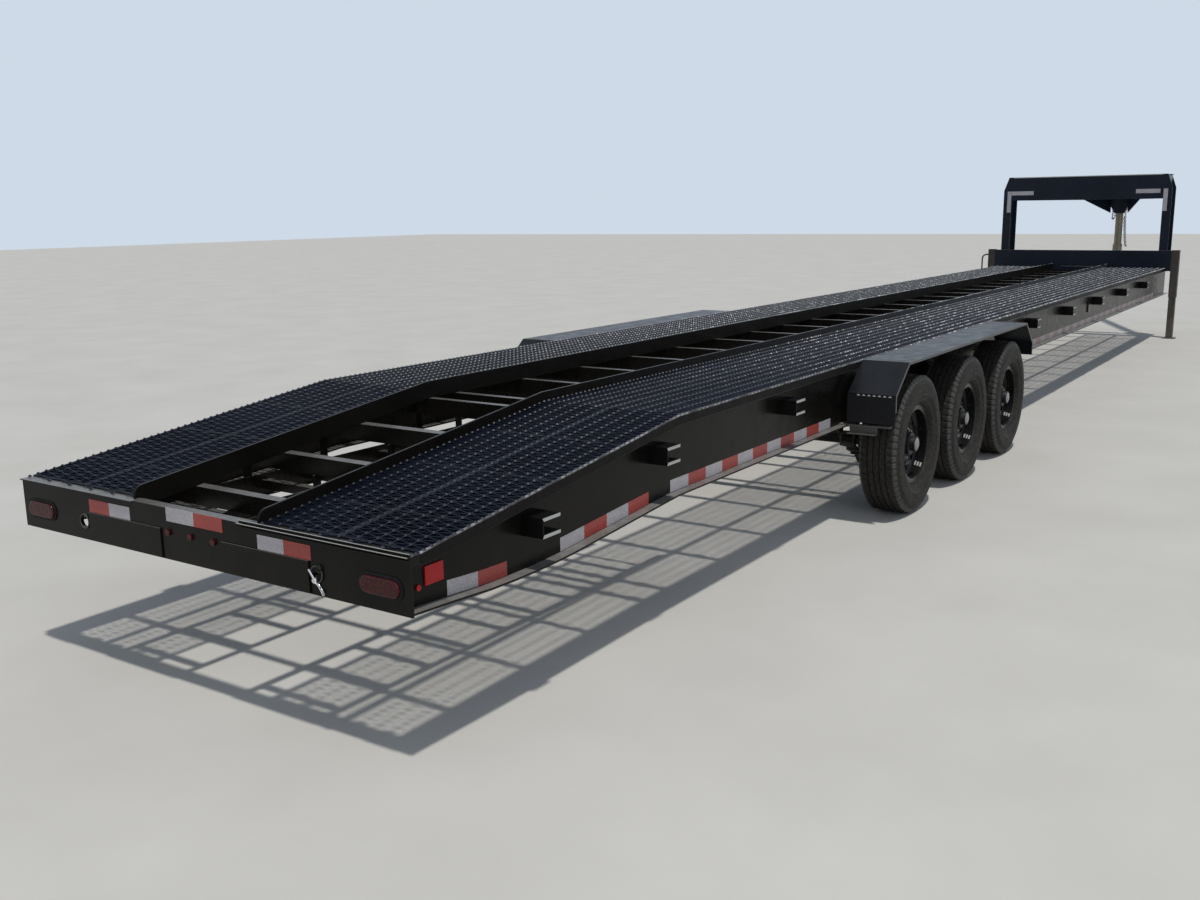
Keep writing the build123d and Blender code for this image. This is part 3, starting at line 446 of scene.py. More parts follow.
# The teeth's and strands' tones are black with a painted bluish sky reflection.
TEETH_TONES = ((0.007, 0.010, 0.020), (0.014, 0.018, 0.033))
TEETH_SHEEN = (0.20, 0.205, 0.215)
STRAND_TONES = ((0.006, 0.008, 0.016), (0.012, 0.016, 0.028))
STRAND_SHEEN = (0.050, 0.053, 0.060)
TEETH_PAINT = {}
STRAND_PAINT = {}
for side_name, span in SHEEN_SPANS.items():
    TEETH_PAINT[side_name] = paint(f"grating_teeth_{side_name}", TEETH_TONES, 0.36, 0.18, peel=0.05,
                                   ahead=(TEETH_SHEEN, *span), glint=GLINT_SPAN)
    STRAND_PAINT[side_name] = paint(f"grating_strands_{side_name}", STRAND_TONES, 0.42, 0.10, peel=0.05,
                                    ahead=(STRAND_SHEEN, *span))
SHADED = paint("shaded_black", ((0.003, 0.003, 0.003), (0.005, 0.005, 0.005)), 0.5, 0.10)
BEAM_PAINT = paint("beam_paint", BLACK, 0.26, 0.12, dust=0.05, top_dust_and_sheen=0.9)
PANEL_PAINT = paint("panel_paint", BLACK, 0.26, 0.13, dust=0.05, top_dust_and_sheen=0.55, thinned_right_of=-0.28)
RAIL_PAINT = rail_paint("rail_paint", BLACK)
NOSE_PAINT = paint("nose_paint", ((0.008, 0.012, 0.020), (0.013, 0.019, 0.031)), 0.28, 0.13, top_dust_and_sheen=0.55)
# The fenders' outer side, beyond FENDER_SKIRT, is painted lighter as a painted highlight.
FENDER_PAINT = paint("fender_paint", ((0.005, 0.006, 0.008), (0.009, 0.010, 0.013)), 0.34, 0.17, dust=0.05,
                     edge=(FENDER_SKIRT, (0.075, 0.080, 0.088)))
BRACKET_PAINT = paint("bracket_paint", ((0.050, 0.048, 0.044), (0.085, 0.082, 0.076)), 0.4, 0.2)
# Painted light: the flap brackets get tones lighter than their paint, and dust with a strong painted sheen
# on faces that look up.
FLAP_PAINTED_LIGHT = paint("flap_bracket_painted_light", ((0.080, 0.077, 0.071), (0.140, 0.136, 0.126)), 0.4, 0.2,
                   top_dust_and_sheen=1.0)
JACK_PAINT = paint("jack_paint", ((0.036, 0.032, 0.027), (0.070, 0.062, 0.053)), 0.45, 0.2, dust=0.9)
# Bare cut steel for bolts and flange ends; it also forms painted highlights on the portal beam's upper
# edge and the rear lip's edges.
CUT_STEEL_AND_HIGHLIGHT = paint("cut_steel_and_highlight", ((0.36, 0.36, 0.34), (0.46, 0.46, 0.44)), 0.5, 0.3)
CAST_BLACK = paint("cast_black", ((0.008, 0.008, 0.008), (0.016, 0.015, 0.014)), 0.5, 0.2, dust=0.3,
                   peel=0.12)
MARKER_LENS = lens("marker_lens", (0.12, 0.010, 0.010), side_base=(0.40, 0.007, 0.009))
CHROME = metal("chrome", (0.36, 0.36, 0.37), 0.16)
ZINC = metal("zinc_fasteners", (0.32, 0.32, 0.30), 0.38)
GALVANISED = metal("chain_steel", (0.34, 0.34, 0.32), 0.4)
BRIGHT = metal("bright_steel", (0.80, 0.80, 0.79), 0.22)
TAPE_WHITE = tape("tape_white", (0.52, 0.49, 0.52))
TAPE_RED = tape("tape_red", (0.40, 0.042, 0.030))
DULL_WHITE = tape("tape_white_dull", (0.27, 0.25, 0.25))
DULL_RED = tape("tape_red_dull", (0.24, 0.12, 0.11))

# Materials of the CAD nodes that stay: their slot's, apart from the nodes listed here
NODES_IN = (
    (FENDER_PAINT, ("fender_left", "fender_right")),
    (MARKER_LENS, ("marker_lamps",)),
    (PANEL_PAINT, ("rear_panel",)),
    (FLAP_PAINTED_LIGHT, ("flap_brackets",)),
    (BEAM_PAINT, ("front_beam",)),
    (RAIL_PAINT, ("inner_rails",)),
    (JACK_PAINT, ("jack_leg_left", "jack_leg_right", "jack_tube_left", "jack_tube_right")),
    (NOSE_PAINT, ("portal_beam", "riser_left", "riser_right", "header", "neck_arm_left", "neck_arm_right",
                  "nose_housing")),
)
own_material = {node: material for material, nodes in NODES_IN for node in nodes}
slot_of = {subpart["node"]: subpart["material_slot"] for subpart in frame["record"]["subparts"]}
for name, obj in frame["nodes"].items():
    obj.data.materials.clear()
    obj.data.materials.append(own_material.get(name, MATERIALS[slot_of[name]]))


# Mesh helpers
def smoothed(mesh, angle):
    """Smooth shading over edges that are flatter than an angle in degrees."""
    mesh.polygons.foreach_set("use_smooth", [True] * len(mesh.polygons))
    mesh.set_sharp_from_angle(angle=math.radians(angle))


class Build:
    """Collects vertices and faces, each face with the index of its material."""

    def __init__(self):
        self.vertices = []
        self.faces = []
        self.shades = []
        self.count = 0

    def add(self, vertices, faces, shade=0):
        vertices = np.asarray(vertices, float).reshape(-1, 3)
        self.vertices.append(vertices)
        self.faces += [tuple(int(index) + self.count for index in face) for face in faces]
        self.shades += [shade] * len(faces)
        self.count += len(vertices)

    def piece(self, name, body, slot, materials, smooth=None):
        """The finished piece; smooth is an angle in degrees, and without it the faces stay flat."""
        mesh = bpy.data.meshes.new(name)
        mesh.from_pydata(np.vstack(self.vertices).tolist(), [], self.faces)
        for material in materials:
            mesh.materials.append(material)
        mesh.polygons.foreach_set("material_index", self.shades)
        if smooth is not None:
            smoothed(mesh, smooth)
        mesh.update()
        obj = place_object(name, mesh)
        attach(obj, body)
        return obj


CUBE = np.array([(x, y, z) for x in (-1, 1) for y in (-1, 1) for z in (-1, 1)], float) / 2
CUBE_FACES = [(0, 1, 3, 2), (4, 6, 7, 5), (0, 4, 5, 1), (2, 3, 7, 6), (0, 2, 6, 4), (1, 5, 7, 3)]


def facing(faces, kept):
    """The faces as they are, or each turned to look the other way."""
    return faces if kept else [face[::-1] for face in faces]


def box(build, centre, size, turn=None, shade=0):
    """A box; the columns of turn are its own axes."""
    corners = CUBE * np.array(size)
    faces = CUBE_FACES
    if turn is not None:
        corners = corners @ turn.T
        faces = facing(faces, np.linalg.det(turn) > 0)
    build.add(corners + np.array(centre), faces, shade)


def around(count):
    """Angles evenly round a circle."""
    return np.arange(count) * 2 * math.pi / count


def ring_faces(rings, count, closed=False):
    """Faces over rings of count points each; the two ends are capped, or closed onto each other."""
    faces = []
    for ring in range(rings if closed else rings - 1):
        here = ring * count
        following = (ring + 1) % rings * count
        for point in range(count):
            beside = (point + 1) % count
            faces.append((here + point, here + beside, following + beside, following + point))
    if not closed:
        faces.append(tuple(reversed(range(count))))
        faces.append(tuple((rings - 1) * count + point for point in range(count)))
    return faces


def square_to(direction):
    """Two unit vectors square to a direction, and the direction's own."""
    unit = np.array(direction, float)
    unit /= np.linalg.norm(unit)
    first = np.cross(unit, (0, 0, 1) if abs(unit[2]) < 0.9 else (1, 0, 0))
    first /= np.linalg.norm(first)
    return first, np.cross(unit, first), unit


def circle(first, second, angles):
    """Points of a unit circle in the plane of two vectors."""
    return np.outer(np.cos(angles), first) + np.outer(np.sin(angles), second)


def turned(build, base, direction, profile, count, shade=0):
    """A turned or prismatic form from (distance along direction, radius) rings round an axis."""
    first, second, unit = square_to(direction)
    ring = circle(first, second, around(count))
    rings = [np.array(base) + unit * distance + ring * radius for distance, radius in profile]
    build.add(np.vstack(rings), ring_faces(len(rings), count), shade)


def tube(build, points, radius, count, shade=0, closed=False):
    """A round bar along a line of points."""
    line = np.array(points, float)
    last = len(line) - 1
    first = None
    rings = []
    for i, point in enumerate(line):
        if closed:
            heading = line[(i + 1) % len(line)] - line[i - 1]
        else:
            heading = line[min(i + 1, last)] - line[max(i - 1, 0)]
        heading /= np.linalg.norm(heading)
        if first is None:
            first = square_to(heading)[0]
        first = first - heading * np.dot(first, heading)
        first /= np.linalg.norm(first)
        rings.append(point + radius * circle(first, np.cross(heading, first), around(count)))
    build.add(np.vstack(rings), ring_faces(len(rings), count, closed), shade)


def bolt(build, place, direction, radius, height):
    """A hexagon head on a round washer."""
    unit = np.array(direction, float) / np.linalg.norm(direction)
    washer = 1.9 * radius
    corner = 1.12 * radius
    turned(build, place, unit, [(-0.002, washer), (0.0014, washer), (0.0016, washer * 0.92)], 18)
    top = np.array(place) + unit * 0.0012
    turned(build, top, unit, [(0, corner), (height * 0.8, corner), (height, radius * 0.95)], 6)


# Deck gratings
BAR_COUNT = 11
BAR_WIDTH = 0.006
TOOTH_PITCH = 0.035
FIRST_TOOTH = 0.03
TOOTH_LIMIT = DECK_LENGTH - 0.02
BAR_REACH = DECK_HALF - RUNNER_IN - BAR_WIDTH
BAR_Y = RUNNER_IN + BAR_WIDTH / 2 + np.arange(BAR_COUNT) * BAR_REACH / (BAR_COUNT - 1)
TOOTH_X = np.arange(FIRST_TOOTH, TOOTH_LIMIT, TOOTH_PITCH)
# Half length, half width and height over the deck of a tooth's foot and tip.
TOOTH_FOOT = (0.0100, 0.0105, -0.001)
TOOTH_TIP = (0.0026, 0.0034, 0.0045)
TOOTH_FACES = [(0, 1, 5, 4), (1, 2, 6, 5), (2, 3, 7, 6), (3, 0, 4, 7), (4, 5, 6, 7)]
# Height over the deck and half width of a strand's upper and lower edge.
STRAND_TOP = (0.0014, 0.0012)
STRAND_FOOT = (-0.013, 0.0036)
STRAND_FACES = [(0, 1, 3, 2), (4, 6, 7, 5), (0, 2, 6, 4), (1, 5, 7, 3)]


def deck_point(places, y, lift):
    """Points of the deck's surface: places run along it from the rear face, lift is square to it."""
    slope = np.where(places < KINK, DROP / KINK, 0)
    length = np.sqrt(1 + slope ** 2)
    height = DECK_TOP - fall(places) + lift / length
    shift = -lift * slope / length
    return np.stack([deck_x(places) + shift, np.broadcast_to(y, places.shape), height], -1)


def staggered(places, row):
    """Every other row stands half a pitch ahead."""
    return places + (TOOTH_PITCH / 2 if row % 2 else 0)


def repeated(build, corners, faces):
    """Many like forms at once: corners is (form, corner, 3)."""
    forms, count, _ = corners.shape
    build.add(corners, [tuple(form * count + corner for corner in face)
                        for form in range(forms) for face in faces])


def diamond(places, side, y, half_length, half_width, lift):
    """The four corners of a flat diamond at each place along a bar."""
    return [deck_point(places - half_length, side * y, lift),
            deck_point(places, side * (y - half_width), lift),
            deck_point(places + half_length, side * y, lift),
            deck_point(places, side * (y + half_width), lift)]


def grating_teeth(side):
    build = Build()
    for row, y in enumerate(BAR_Y):
        places = staggered(TOOTH_X, row)
        places = places[places < TOOTH_LIMIT]
        corners = diamond(places, side, y, *TOOTH_FOOT) + diamond(places, side, y, *TOOTH_TIP)
        repeated(build, np.stack(corners, 1), TOOTH_FACES)
    return build


def grating_strands(side):
    """A zigzag of flat strands between each two neighbouring bars."""
    build = Build()
    for row, (near, far) in enumerate(zip(BAR_Y, BAR_Y[1:])):
        start = staggered(TOOTH_X[:-1], row)
        middle = start + TOOTH_PITCH / 2
        for tooth in (start, start + TOOTH_PITCH):
            corners = [deck_point(places + shift, side * y, lift)
                       for lift, half in (STRAND_TOP, STRAND_FOOT)
                       for places, y in ((tooth, near), (middle, far))
                       for shift in (-half, half)]
            repeated(build, np.stack(corners, 1), facing(STRAND_FACES, side > 0))
    return build


for side_name, side in SIDES.items():
    teeth = grating_teeth(side)
    teeth.piece(f"grating_teeth_{side_name}", "root", "grating", [TEETH_PAINT[side_name]])
    strands = grating_strands(side)
    strands.piece(f"grating_strands_{side_name}", "root", "grating", [STRAND_PAINT[side_name]])

# Side beams, I sections whose web is deepest a little ahead of the rear face
FLANGE_HALF = 0.0505
FLANGE_THICK = 0.008
WEB_HALF = 0.004
EASED = 0.0018
# Place and height of the lower edge.
BELLY = [(0.008, 0.514), (0.20, 0.503), (0.375, 0.4905), (0.50, 0.4865), (0.618, 0.4855), (0.74, 0.488),
         (0.842, 0.492), (0.99, 0.5025), (1.138, 0.5125), (1.37, 0.529), (KINK, BEAM_BOTTOM),
         (BEAM_END, BEAM_BOTTOM)]


def beam_low(places):
    """Height of the side beam's lower edge."""
    return np.interp(places, [place for place, _ in BELLY], [low for _, low in BELLY])


def i_section(low, high):
    """Points round an I section, as offsets from its middle and heights, with eased flange edges."""
    foot_top = low + FLANGE_THICK
    head_low = high - FLANGE_THICK
    inset = FLANGE_HALF - EASED
    half = [(inset, low), (FLANGE_HALF, low + EASED), (FLANGE_HALF, foot_top - EASED), (inset, foot_top),
            (WEB_HALF, foot_top), (WEB_HALF, head_low), (inset, head_low), (FLANGE_HALF, head_low + EASED),
            (FLANGE_HALF, high - EASED), (inset, high)]
    return half + [(-offset, height) for offset, height in reversed(half)]


def side_beam(side):
    build = Build()
    rings = []
    for place, low in BELLY:
        section = i_section(low, STEEL_TOP - float(fall(place)))
        rings.append([(deck_x(place), side * (BEAM_Y + offset), height) for offset, height in section])
    build.add(rings, facing(ring_faces(len(rings), len(rings[0])), side > 0))
    return build


for side_name, side in SIDES.items():
    beam = side_beam(side).piece(f"side_beam_form_{side_name}", "root", "black_paint", [BEAM_PAINT])
    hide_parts(f"side_beam_{side_name}")

# Cross stubs, channels on the beams' outer sides that are open to the front
STUB_X = [0.650, 1.475, 2.685] + [DECK_LENGTH - 1.460 - step * 1.270 for step in range(5)]
STUB_LONG = 0.103
STUB_HIGH = 0.072
STUB_BAR = 0.012
STUB_WEB = 0.008
STUB_END = DECK_HALF + 0.045
STUB_BELOW_TOP = 0.0505
# Corners of the outer end's faces and their material: the two bars are cut bright, the web is painted.
STUB_END_FACES = [((0, 1, 2, 3), 1), ((4, 5, 6, 7), 1), ((0, 3, 4, 7), 0)]


def cross_stub(build, side, place):
    high = STEEL_TOP - float(fall(place)) - STUB_BELOW_TOP
    low = high - STUB_HIGH
    back = deck_x(place) - STUB_LONG / 2
    front = deck_x(place) + STUB_LONG / 2
    web = back + STUB_WEB
    outline = [(back, low), (front, low), (front, low + STUB_BAR), (web, low + STUB_BAR),
               (web, high - STUB_BAR), (front, high - STUB_BAR), (front, high), (back, high)]
    inner = [(x, side * WEB_FACE, z) for x, z in outline]
    outer = [(x, side * STUB_END, z) for x, z in outline]
    # The outer cap is left off, because its three faces follow.
    walls = ring_faces(2, len(outline))[:-1]
    build.add(inner + outer, facing(walls, side < 0))
    for face, shade in STUB_END_FACES:
        build.add([outer[corner] for corner in face], facing([(0, 1, 2, 3)], side < 0), shade)


build = Build()
for side in SIDES.values():
    for place in STUB_X:
        cross_stub(build, side, place)
stubs = build.piece("cross_stub_forms", "root", "black_paint", [SHADED, CUT_STEEL_AND_HIGHLIGHT])
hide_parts("cross_stubs")

# Nose gussets, the two sloped plates beside the nose under the arms
ARM_BOTTOM = 1.748
GUSSET_LONG = 0.66
GUSSET_HIGH = 0.190
GUSSET_HALF = 0.005
arm_in = at(16.2975, 0.12, ARM_BOTTOM)
arm_out = at(BEAM_END, 0.9755, ARM_BOTTOM)
back = (arm_out - arm_in) / np.linalg.norm(arm_out - arm_in)
across = np.array((back[1], -back[0], 0.0)) * GUSSET_HALF
triangle = [arm_in, arm_in + back * GUSSET_LONG, arm_in + np.array((0, 0, -GUSSET_HIGH))]
build = Build()
for side in SIDES.values():
    mirror = np.array((1, side, 1))
    corners = [(corner + shift) * mirror for shift in (-across, across) for corner in triangle]
    faces = [(0, 1, 2), (5, 4, 3), (0, 3, 4, 1), (1, 4, 5, 2), (2, 5, 3, 0)]
    build.add(corners, facing(faces, side > 0))
build.piece("nose_gussets", "root", "black_paint", [NOSE_PAINT])

# Reflective tape along the side beams: start and end of each run
TAPE_HEIGHT = 0.051
TAPE_BLOCK = 0.152
TAPE_PROUD = 0.0009
TAPE_SUNK = 0.0005
TAPE_ABOVE_EDGE = 0.0100
TAPE_STEPS = 4
# A run that starts ahead of this place is dull.
DULL_FROM = 5
SIDE_RUNS = [(0.209, 0.513), (0.821, 1.429), (1.60, 3.272), (6.55, 13.4)]


def tape_block(build, side, start, end, shade):
    """A block of tape that follows the lower edge of the web."""
    places = np.linspace(start, end, TAPE_STEPS + 1)
    lows = beam_low(places) + TAPE_ABOVE_EDGE
    outline = [(deck_x(place), low) for place, low in zip(places, lows)]
    outline += [(deck_x(place), low + TAPE_HEIGHT) for place, low in zip(places, lows)]
    corners = [(x, side * y, z) for y in (WEB_FACE + TAPE_PROUD, WEB_FACE - TAPE_SUNK) for x, z in outline]
    high = TAPE_STEPS + 1
    back = 2 * high
    steps = range(TAPE_STEPS)
    faces = [(j, j + 1, j + high + 1, j + high) for j in steps]
    faces += [(j + back, j + high + back, j + high + 1 + back, j + 1 + back) for j in steps]
    faces += [(j, j + back, j + 1 + back, j + 1) for j in steps]
    faces += [(j + high, j + high + 1, j + high + 1 + back, j + high + back) for j in steps]
    build.add(corners, facing(faces, side < 0), shade)


for side_name, side in SIDES.items():
    build = Build()
    for start, end in SIDE_RUNS:
        edges = np.arange(start, end + TAPE_BLOCK / 2, TAPE_BLOCK)
        dull = 2 if start > DULL_FROM else 0
        for number, (block_start, block_end) in enumerate(zip(edges, edges[1:])):
            tape_block(build, side, block_start, block_end, number % 2 + dull)
    build.piece(f"reflective_tape_{side_name}", "root", None, [TAPE_WHITE, TAPE_RED, DULL_WHITE, DULL_RED])

# Reflective tape on the rear panel: its right and left end, its height, and the material of its left half
REAR_TAPES = [(0.342, 0.590, 0.6475, 1), (-0.174, 0.128, 0.677, 0), (-0.602, -0.349, 0.6475, 0)]
build = Build()
for low, high, z, first in REAR_TAPES:
    half = (high - low) / 2
    for number in range(2):
        y = high - half * (number + 0.5)
        box(build, at(-0.0006, y, z), (0.0016, half, 0.05), shade=(number + first) % 2)
build.piece("reflective_tape_rear", "root", None, [TAPE_WHITE, TAPE_RED])

# White corner marks, and a painted highlight along the upper edge, on the rear of the portal beam
PORTAL_REAR = 13.9054
MARK_THICK = 0.0016
build = Build()
for side, across, corner in ((1, 0.787, 0.957), (-1, 0.752, 0.956)):
    box(build, at(PORTAL_REAR, side * across, 1.842), (MARK_THICK, 0.284, 0.051))
    box(build, at(PORTAL_REAR, side * corner, 1.730), (MARK_THICK, 0.05, 0.275))
build.piece("corner_marks", "root", None, [TAPE_WHITE])
# A painted highlight: a thin light strip along the portal beam's upper edge.
build = Build()
box(build, at(PORTAL_REAR, 0, 2.0445), (0.0012, 1.82, 0.010))
build.piece("portal_edge", "root", "black_paint", [CUT_STEEL_AND_HIGHLIGHT])

# Tyres
TYRE_STEPS = 320
TREAD_HALF = 0.086
CROWN = 0.0035
GROOVE_DEPTH = 0.0085
ZIGZAG = 0.0016
NOTCH_DEPTH = 0.006
NOTCH_INSET = 0.0055
SIPE_DEPTH = 0.0022
# Steps round the tyre from one zigzag, notch or sipe to the next.
ZIGZAG_STEPS = 4
NOTCH_STEPS = 5
SIPE_STEPS = 8
# Distances from the tyre's middle.
ZIGZAG_SPAN = (0.005, 0.06)
SIPE_SPAN = (0.024, 0.05)
NOTCHED_TREAD = 0.074
NOTCHED_WALL = (0.094, 0.1036)
RIB, GROOVE, WALL = 0, 1, 2
# Offset from the middle and kind of each tread ring.
TREAD = [(0.0, RIB), (0.0115, RIB), (0.0125, GROOVE), (0.0205, GROOVE), (0.0215, RIB), (0.045, RIB),
         (0.046, GROOVE), (0.054, GROOVE), (0.055, RIB), (0.074, RIB), (TREAD_HALF, RIB)]
# Offset from the middle and radius of each sidewall ring.
SIDEWALL = [(0.094, 0.388), (0.099, 0.381), (0.1035, 0.372), (0.107, 0.361), (0.1085, 0.3545),
            (0.1112, 0.352), (0.1128, 0.344), (0.1152, 0.3415), (0.1165, 0.331), (0.1175, 0.314),
            (0.1174, 0.298), (0.1166, 0.284), (0.1182, 0.2815), (0.118, 0.2765), (0.1156, 0.274),
            (0.112, 0.262), (0.1065, 0.249), (0.1065, 0.2445), (0.101, 0.238), (0.094, 0.230),
            (0.084, 0.2235), (0.0745, 0.2215), (0.0745, 0.2055)]


def tyre_ring(offset, radius, kind):
    """One ring of a tyre, with its share of grooves, zigzags, sipes and shoulder notches."""
    number = np.arange(TYRE_STEPS)
    angle = number * 2 * math.pi / TYRE_STEPS
    zigzag = np.where((number // ZIGZAG_STEPS) % 2, 1, -1)
    zigzag = (np.roll(zigzag, 1) + zigzag + np.roll(zigzag, -1)) / 3
    notch = np.where(number % NOTCH_STEPS == 0, 1, 0)
    sipe = np.where(number % SIPE_STEPS == 0, 1, 0)
    distance = abs(offset)
    radii = np.full(TYRE_STEPS, radius)
    offsets = np.full(TYRE_STEPS, offset)
    if kind == GROOVE:
        radii = radii - GROOVE_DEPTH
    if kind != WALL and ZIGZAG_SPAN[0] < distance < ZIGZAG_SPAN[1]:
        offsets = offsets + ZIGZAG * zigzag
    if kind == RIB and distance >= NOTCHED_TREAD:
        radii = radii - NOTCH_DEPTH * notch
    if kind == WALL and NOTCHED_WALL[0] <= distance <= NOTCHED_WALL[1]:
        radii = radii - NOTCH_DEPTH * notch
        offsets = offsets - np.sign(offset) * NOTCH_INSET * notch
    if kind == RIB and SIPE_SPAN[0] < distance < SIPE_SPAN[1]:
        radii = radii - SIPE_DEPTH * sipe
    return np.stack([radii * np.cos(angle), offsets, radii * np.sin(angle)], -1)


def tyre_mesh(name):
    """A radial tyre: ribbed tread with zigzag grooves, notched shoulders and ribbed sidewalls."""
    half = [(offset, WHEEL_R - CROWN * (offset / TREAD_HALF) ** 2, kind) for offset, kind in TREAD]
    half += [(offset, radius, WALL) for offset, radius in SIDEWALL]
    profile = [(-offset, radius, kind) for offset, radius, kind in reversed(half)] + half[1:]
    vertices = np.vstack([tyre_ring(*ring) for ring in profile])
    mesh = bpy.data.meshes.new(name)
    faces = facing(ring_faces(len(profile), TYRE_STEPS, closed=True), kept=False)
    mesh.from_pydata(vertices.tolist(), [], faces)
    mesh.materials.append(MATERIALS["tyre"])
    smoothed(mesh, 30)
    mesh.update()
    return mesh


# Hub caps, wheel nuts, valves and small bright blocks inside the rims, where a profile is (distance along
# the axis, radius)
HUB_CAP = [(0, 0.0375), (0.0265, 0.0375), (0.0285, 0.0365), (0.0325, 0.0340), (0.036, 0.029),
           (0.0385, 0.022), (0.0395, 0.0130), (0.0395, 0.001)]
HUB_CAP_OUT = 0.0605
NUT_COUNT = 8
NUT_CIRCLE = 0.08255
NUT_OUT = 0.0085
NUT = [(0, 0.0155), (0.0035, 0.0155), (0.005, 0.0135), (0.021, 0.0132), (0.0225, 0.0118)]
STUD = [(0.02, 0.008), (0.0315, 0.008), (0.033, 0.007)]
VALVE = [(0, 0.005), (0.02, 0.0035), (0.021, 0.0042), (0.030, 0.0042), (0.031, 0.003)]
VALVE_ANGLE = 0.35
VALVE_CIRCLE = 0.168
VALVE_OUT = 0.028
RIM_BLOCK_SIZE = (0.005, 0.028, 0.0085)
RIM_BLOCK_COUNT = 3
RIM_BLOCK_CIRCLE = 0.1934
RIM_BLOCK_ANGLE = -46
RIM_BLOCK_TURN = -1.2
RIM_BLOCK_OUT = 0.0430
RIM_BLOCK_PITCH = 0.0160
RIM_EDGE_CIRCLE = 0.2192
RIM_EDGE_OUT = 0.0818
RIM_EDGE_BAR = 0.0013


def spoke(angle):
    """A unit vector from the wheel's middle."""
    return np.array((math.cos(angle), 0, math.sin(angle)))


def hub_cap(centre, out):
    build = Build()
    turned(build, centre + out * HUB_CAP_OUT, out, HUB_CAP, 48)
    return build


def wheel_nuts(centre, out):
    build = Build()
    for number in range(NUT_COUNT):
        seat = centre + spoke(number * 2 * math.pi / NUT_COUNT) * NUT_CIRCLE + out * NUT_OUT
        turned(build, seat, out, NUT, 6)
        turned(build, seat, out, STUD, 16)
    valve_foot = centre + spoke(VALVE_ANGLE) * VALVE_CIRCLE + out * VALVE_OUT
    turned(build, valve_foot, out, VALVE, 12, shade=1)
    return build


def rim_bright_blocks(centre, out):
    """Small bright blocks inside the rim, and a painted highlight line along the rim's edge."""
    build = Build()
    for number in range(RIM_BLOCK_COUNT):
        angle = math.radians(RIM_BLOCK_ANGLE + number * RIM_BLOCK_TURN)
        place = centre + spoke(angle) * RIM_BLOCK_CIRCLE + out * (RIM_BLOCK_OUT + RIM_BLOCK_PITCH * number)
        own_axes = [spoke(angle), spoke(angle + math.pi / 2), out]
        box(build, place, RIM_BLOCK_SIZE, turn=np.stack(own_axes, 1))
    # A painted highlight: a thin light ring along the rim's edge.
    rim_edge = centre + out * RIM_EDGE_OUT + RIM_EDGE_CIRCLE * circle((1, 0, 0), (0, 0, 1), around(96))
    tube(build, rim_edge, RIM_EDGE_BAR, 6, shade=1, closed=True)
    return build


tyre_data = tyre_mesh("tyre_form")
for axle, x in AXLE_X.items():
    for side_name, side in SIDES.items():
        body = f"wheel_{axle}_{side_name}"
        centre = at(x, side * WHEEL_Y, WHEEL_R)
        out = np.array((0.0, side, 0.0))
        obj = place_object(f"tyre_tread_{axle}_{side_name}", tyre_data)
        obj.matrix_world = Matrix.Translation(Vector(centre))
        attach(obj, body)
        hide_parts(f"tyre_{axle}_{side_name}")
        hub_cap(centre, out).piece(f"hub_cap_{axle}_{side_name}", body, "hub_chrome", [CHROME], smooth=35)
        nuts = wheel_nuts(centre, out)
        nuts.piece(f"wheel_nuts_{axle}_{side_name}", body, "bare_steel", [ZINC, CAST_BLACK], smooth=35)
        rim_blocks = rim_bright_blocks(centre, out)
        rim_blocks.piece(f"rim_bright_blocks_{axle}_{side_name}", body, "bare_steel", [CUT_STEEL_AND_HIGHLIGHT, BRACKET_PAINT])

# Bolts on the fenders' front and rear ends
FENDER_HALF = 1.405
BOLT_HEIGHT = 0.714
BOLT_INNER_Y = 1.088
BOLT_PITCH = 0.029
BOLT_COUNT = 7
build = Build()
for side in SIDES.values():
    for end in (-1, 1):
        x = deck_x(AXLE_MIDDLE + end * FENDER_HALF)
        for number in range(BOLT_COUNT):
            y = side * (BOLT_INNER_Y + number * BOLT_PITCH)
            bolt(build, (x, y, BOLT_HEIGHT), (end, 0, 0), 0.0062, 0.006)
build.piece("fender_bolts", "root", "bare_steel", [CUT_STEEL_AND_HIGHLIGHT], smooth=35)

# U-bolts that hold the axles to the springs, with their nuts and plates
U_BOLT_X = 0.048
U_BOLT_HALF = 0.04
U_BOLT_LOW = 0.262
U_BOLT_BEND = 0.394
U_BOLT_RISE = 0.044
U_BOLT_BAR = 0.0064
U_NUT = [(0, 0.0118), (0.012, 0.0118)]
U_NUT_LOW = 0.268
U_PLATE_Z = 0.285
U_PLATE = (0.124, 0.106, 0.010)


def u_bolt(build, x, y):
    """A bar up one side of the axle, over it and down the other side."""
    loop = [(x, y - U_BOLT_HALF, U_BOLT_LOW)]
    for angle in np.linspace(0, math.pi, 13):
        loop.append((x, y - U_BOLT_HALF * math.cos(angle), U_BOLT_BEND + U_BOLT_RISE * math.sin(angle)))
    loop.append((x, y + U_BOLT_HALF, U_BOLT_LOW))
    tube(build, loop, U_BOLT_BAR, 10)
    for end in (-1, 1):
        turned(build, (x, y + end * U_BOLT_HALF, U_NUT_LOW), (0, 0, 1), U_NUT, 6)


build = Build()
for side in SIDES.values():
    for x in AXLE_X.values():
        for end in (-1, 1):
            u_bolt(build, deck_x(x) + end * U_BOLT_X, side * BEAM_Y)
        box(build, at(x, side * BEAM_Y, U_PLATE_Z), U_PLATE)
build.piece("axle_u_bolts", "root", "spring_steel", [CAST_BLACK], smooth=35)


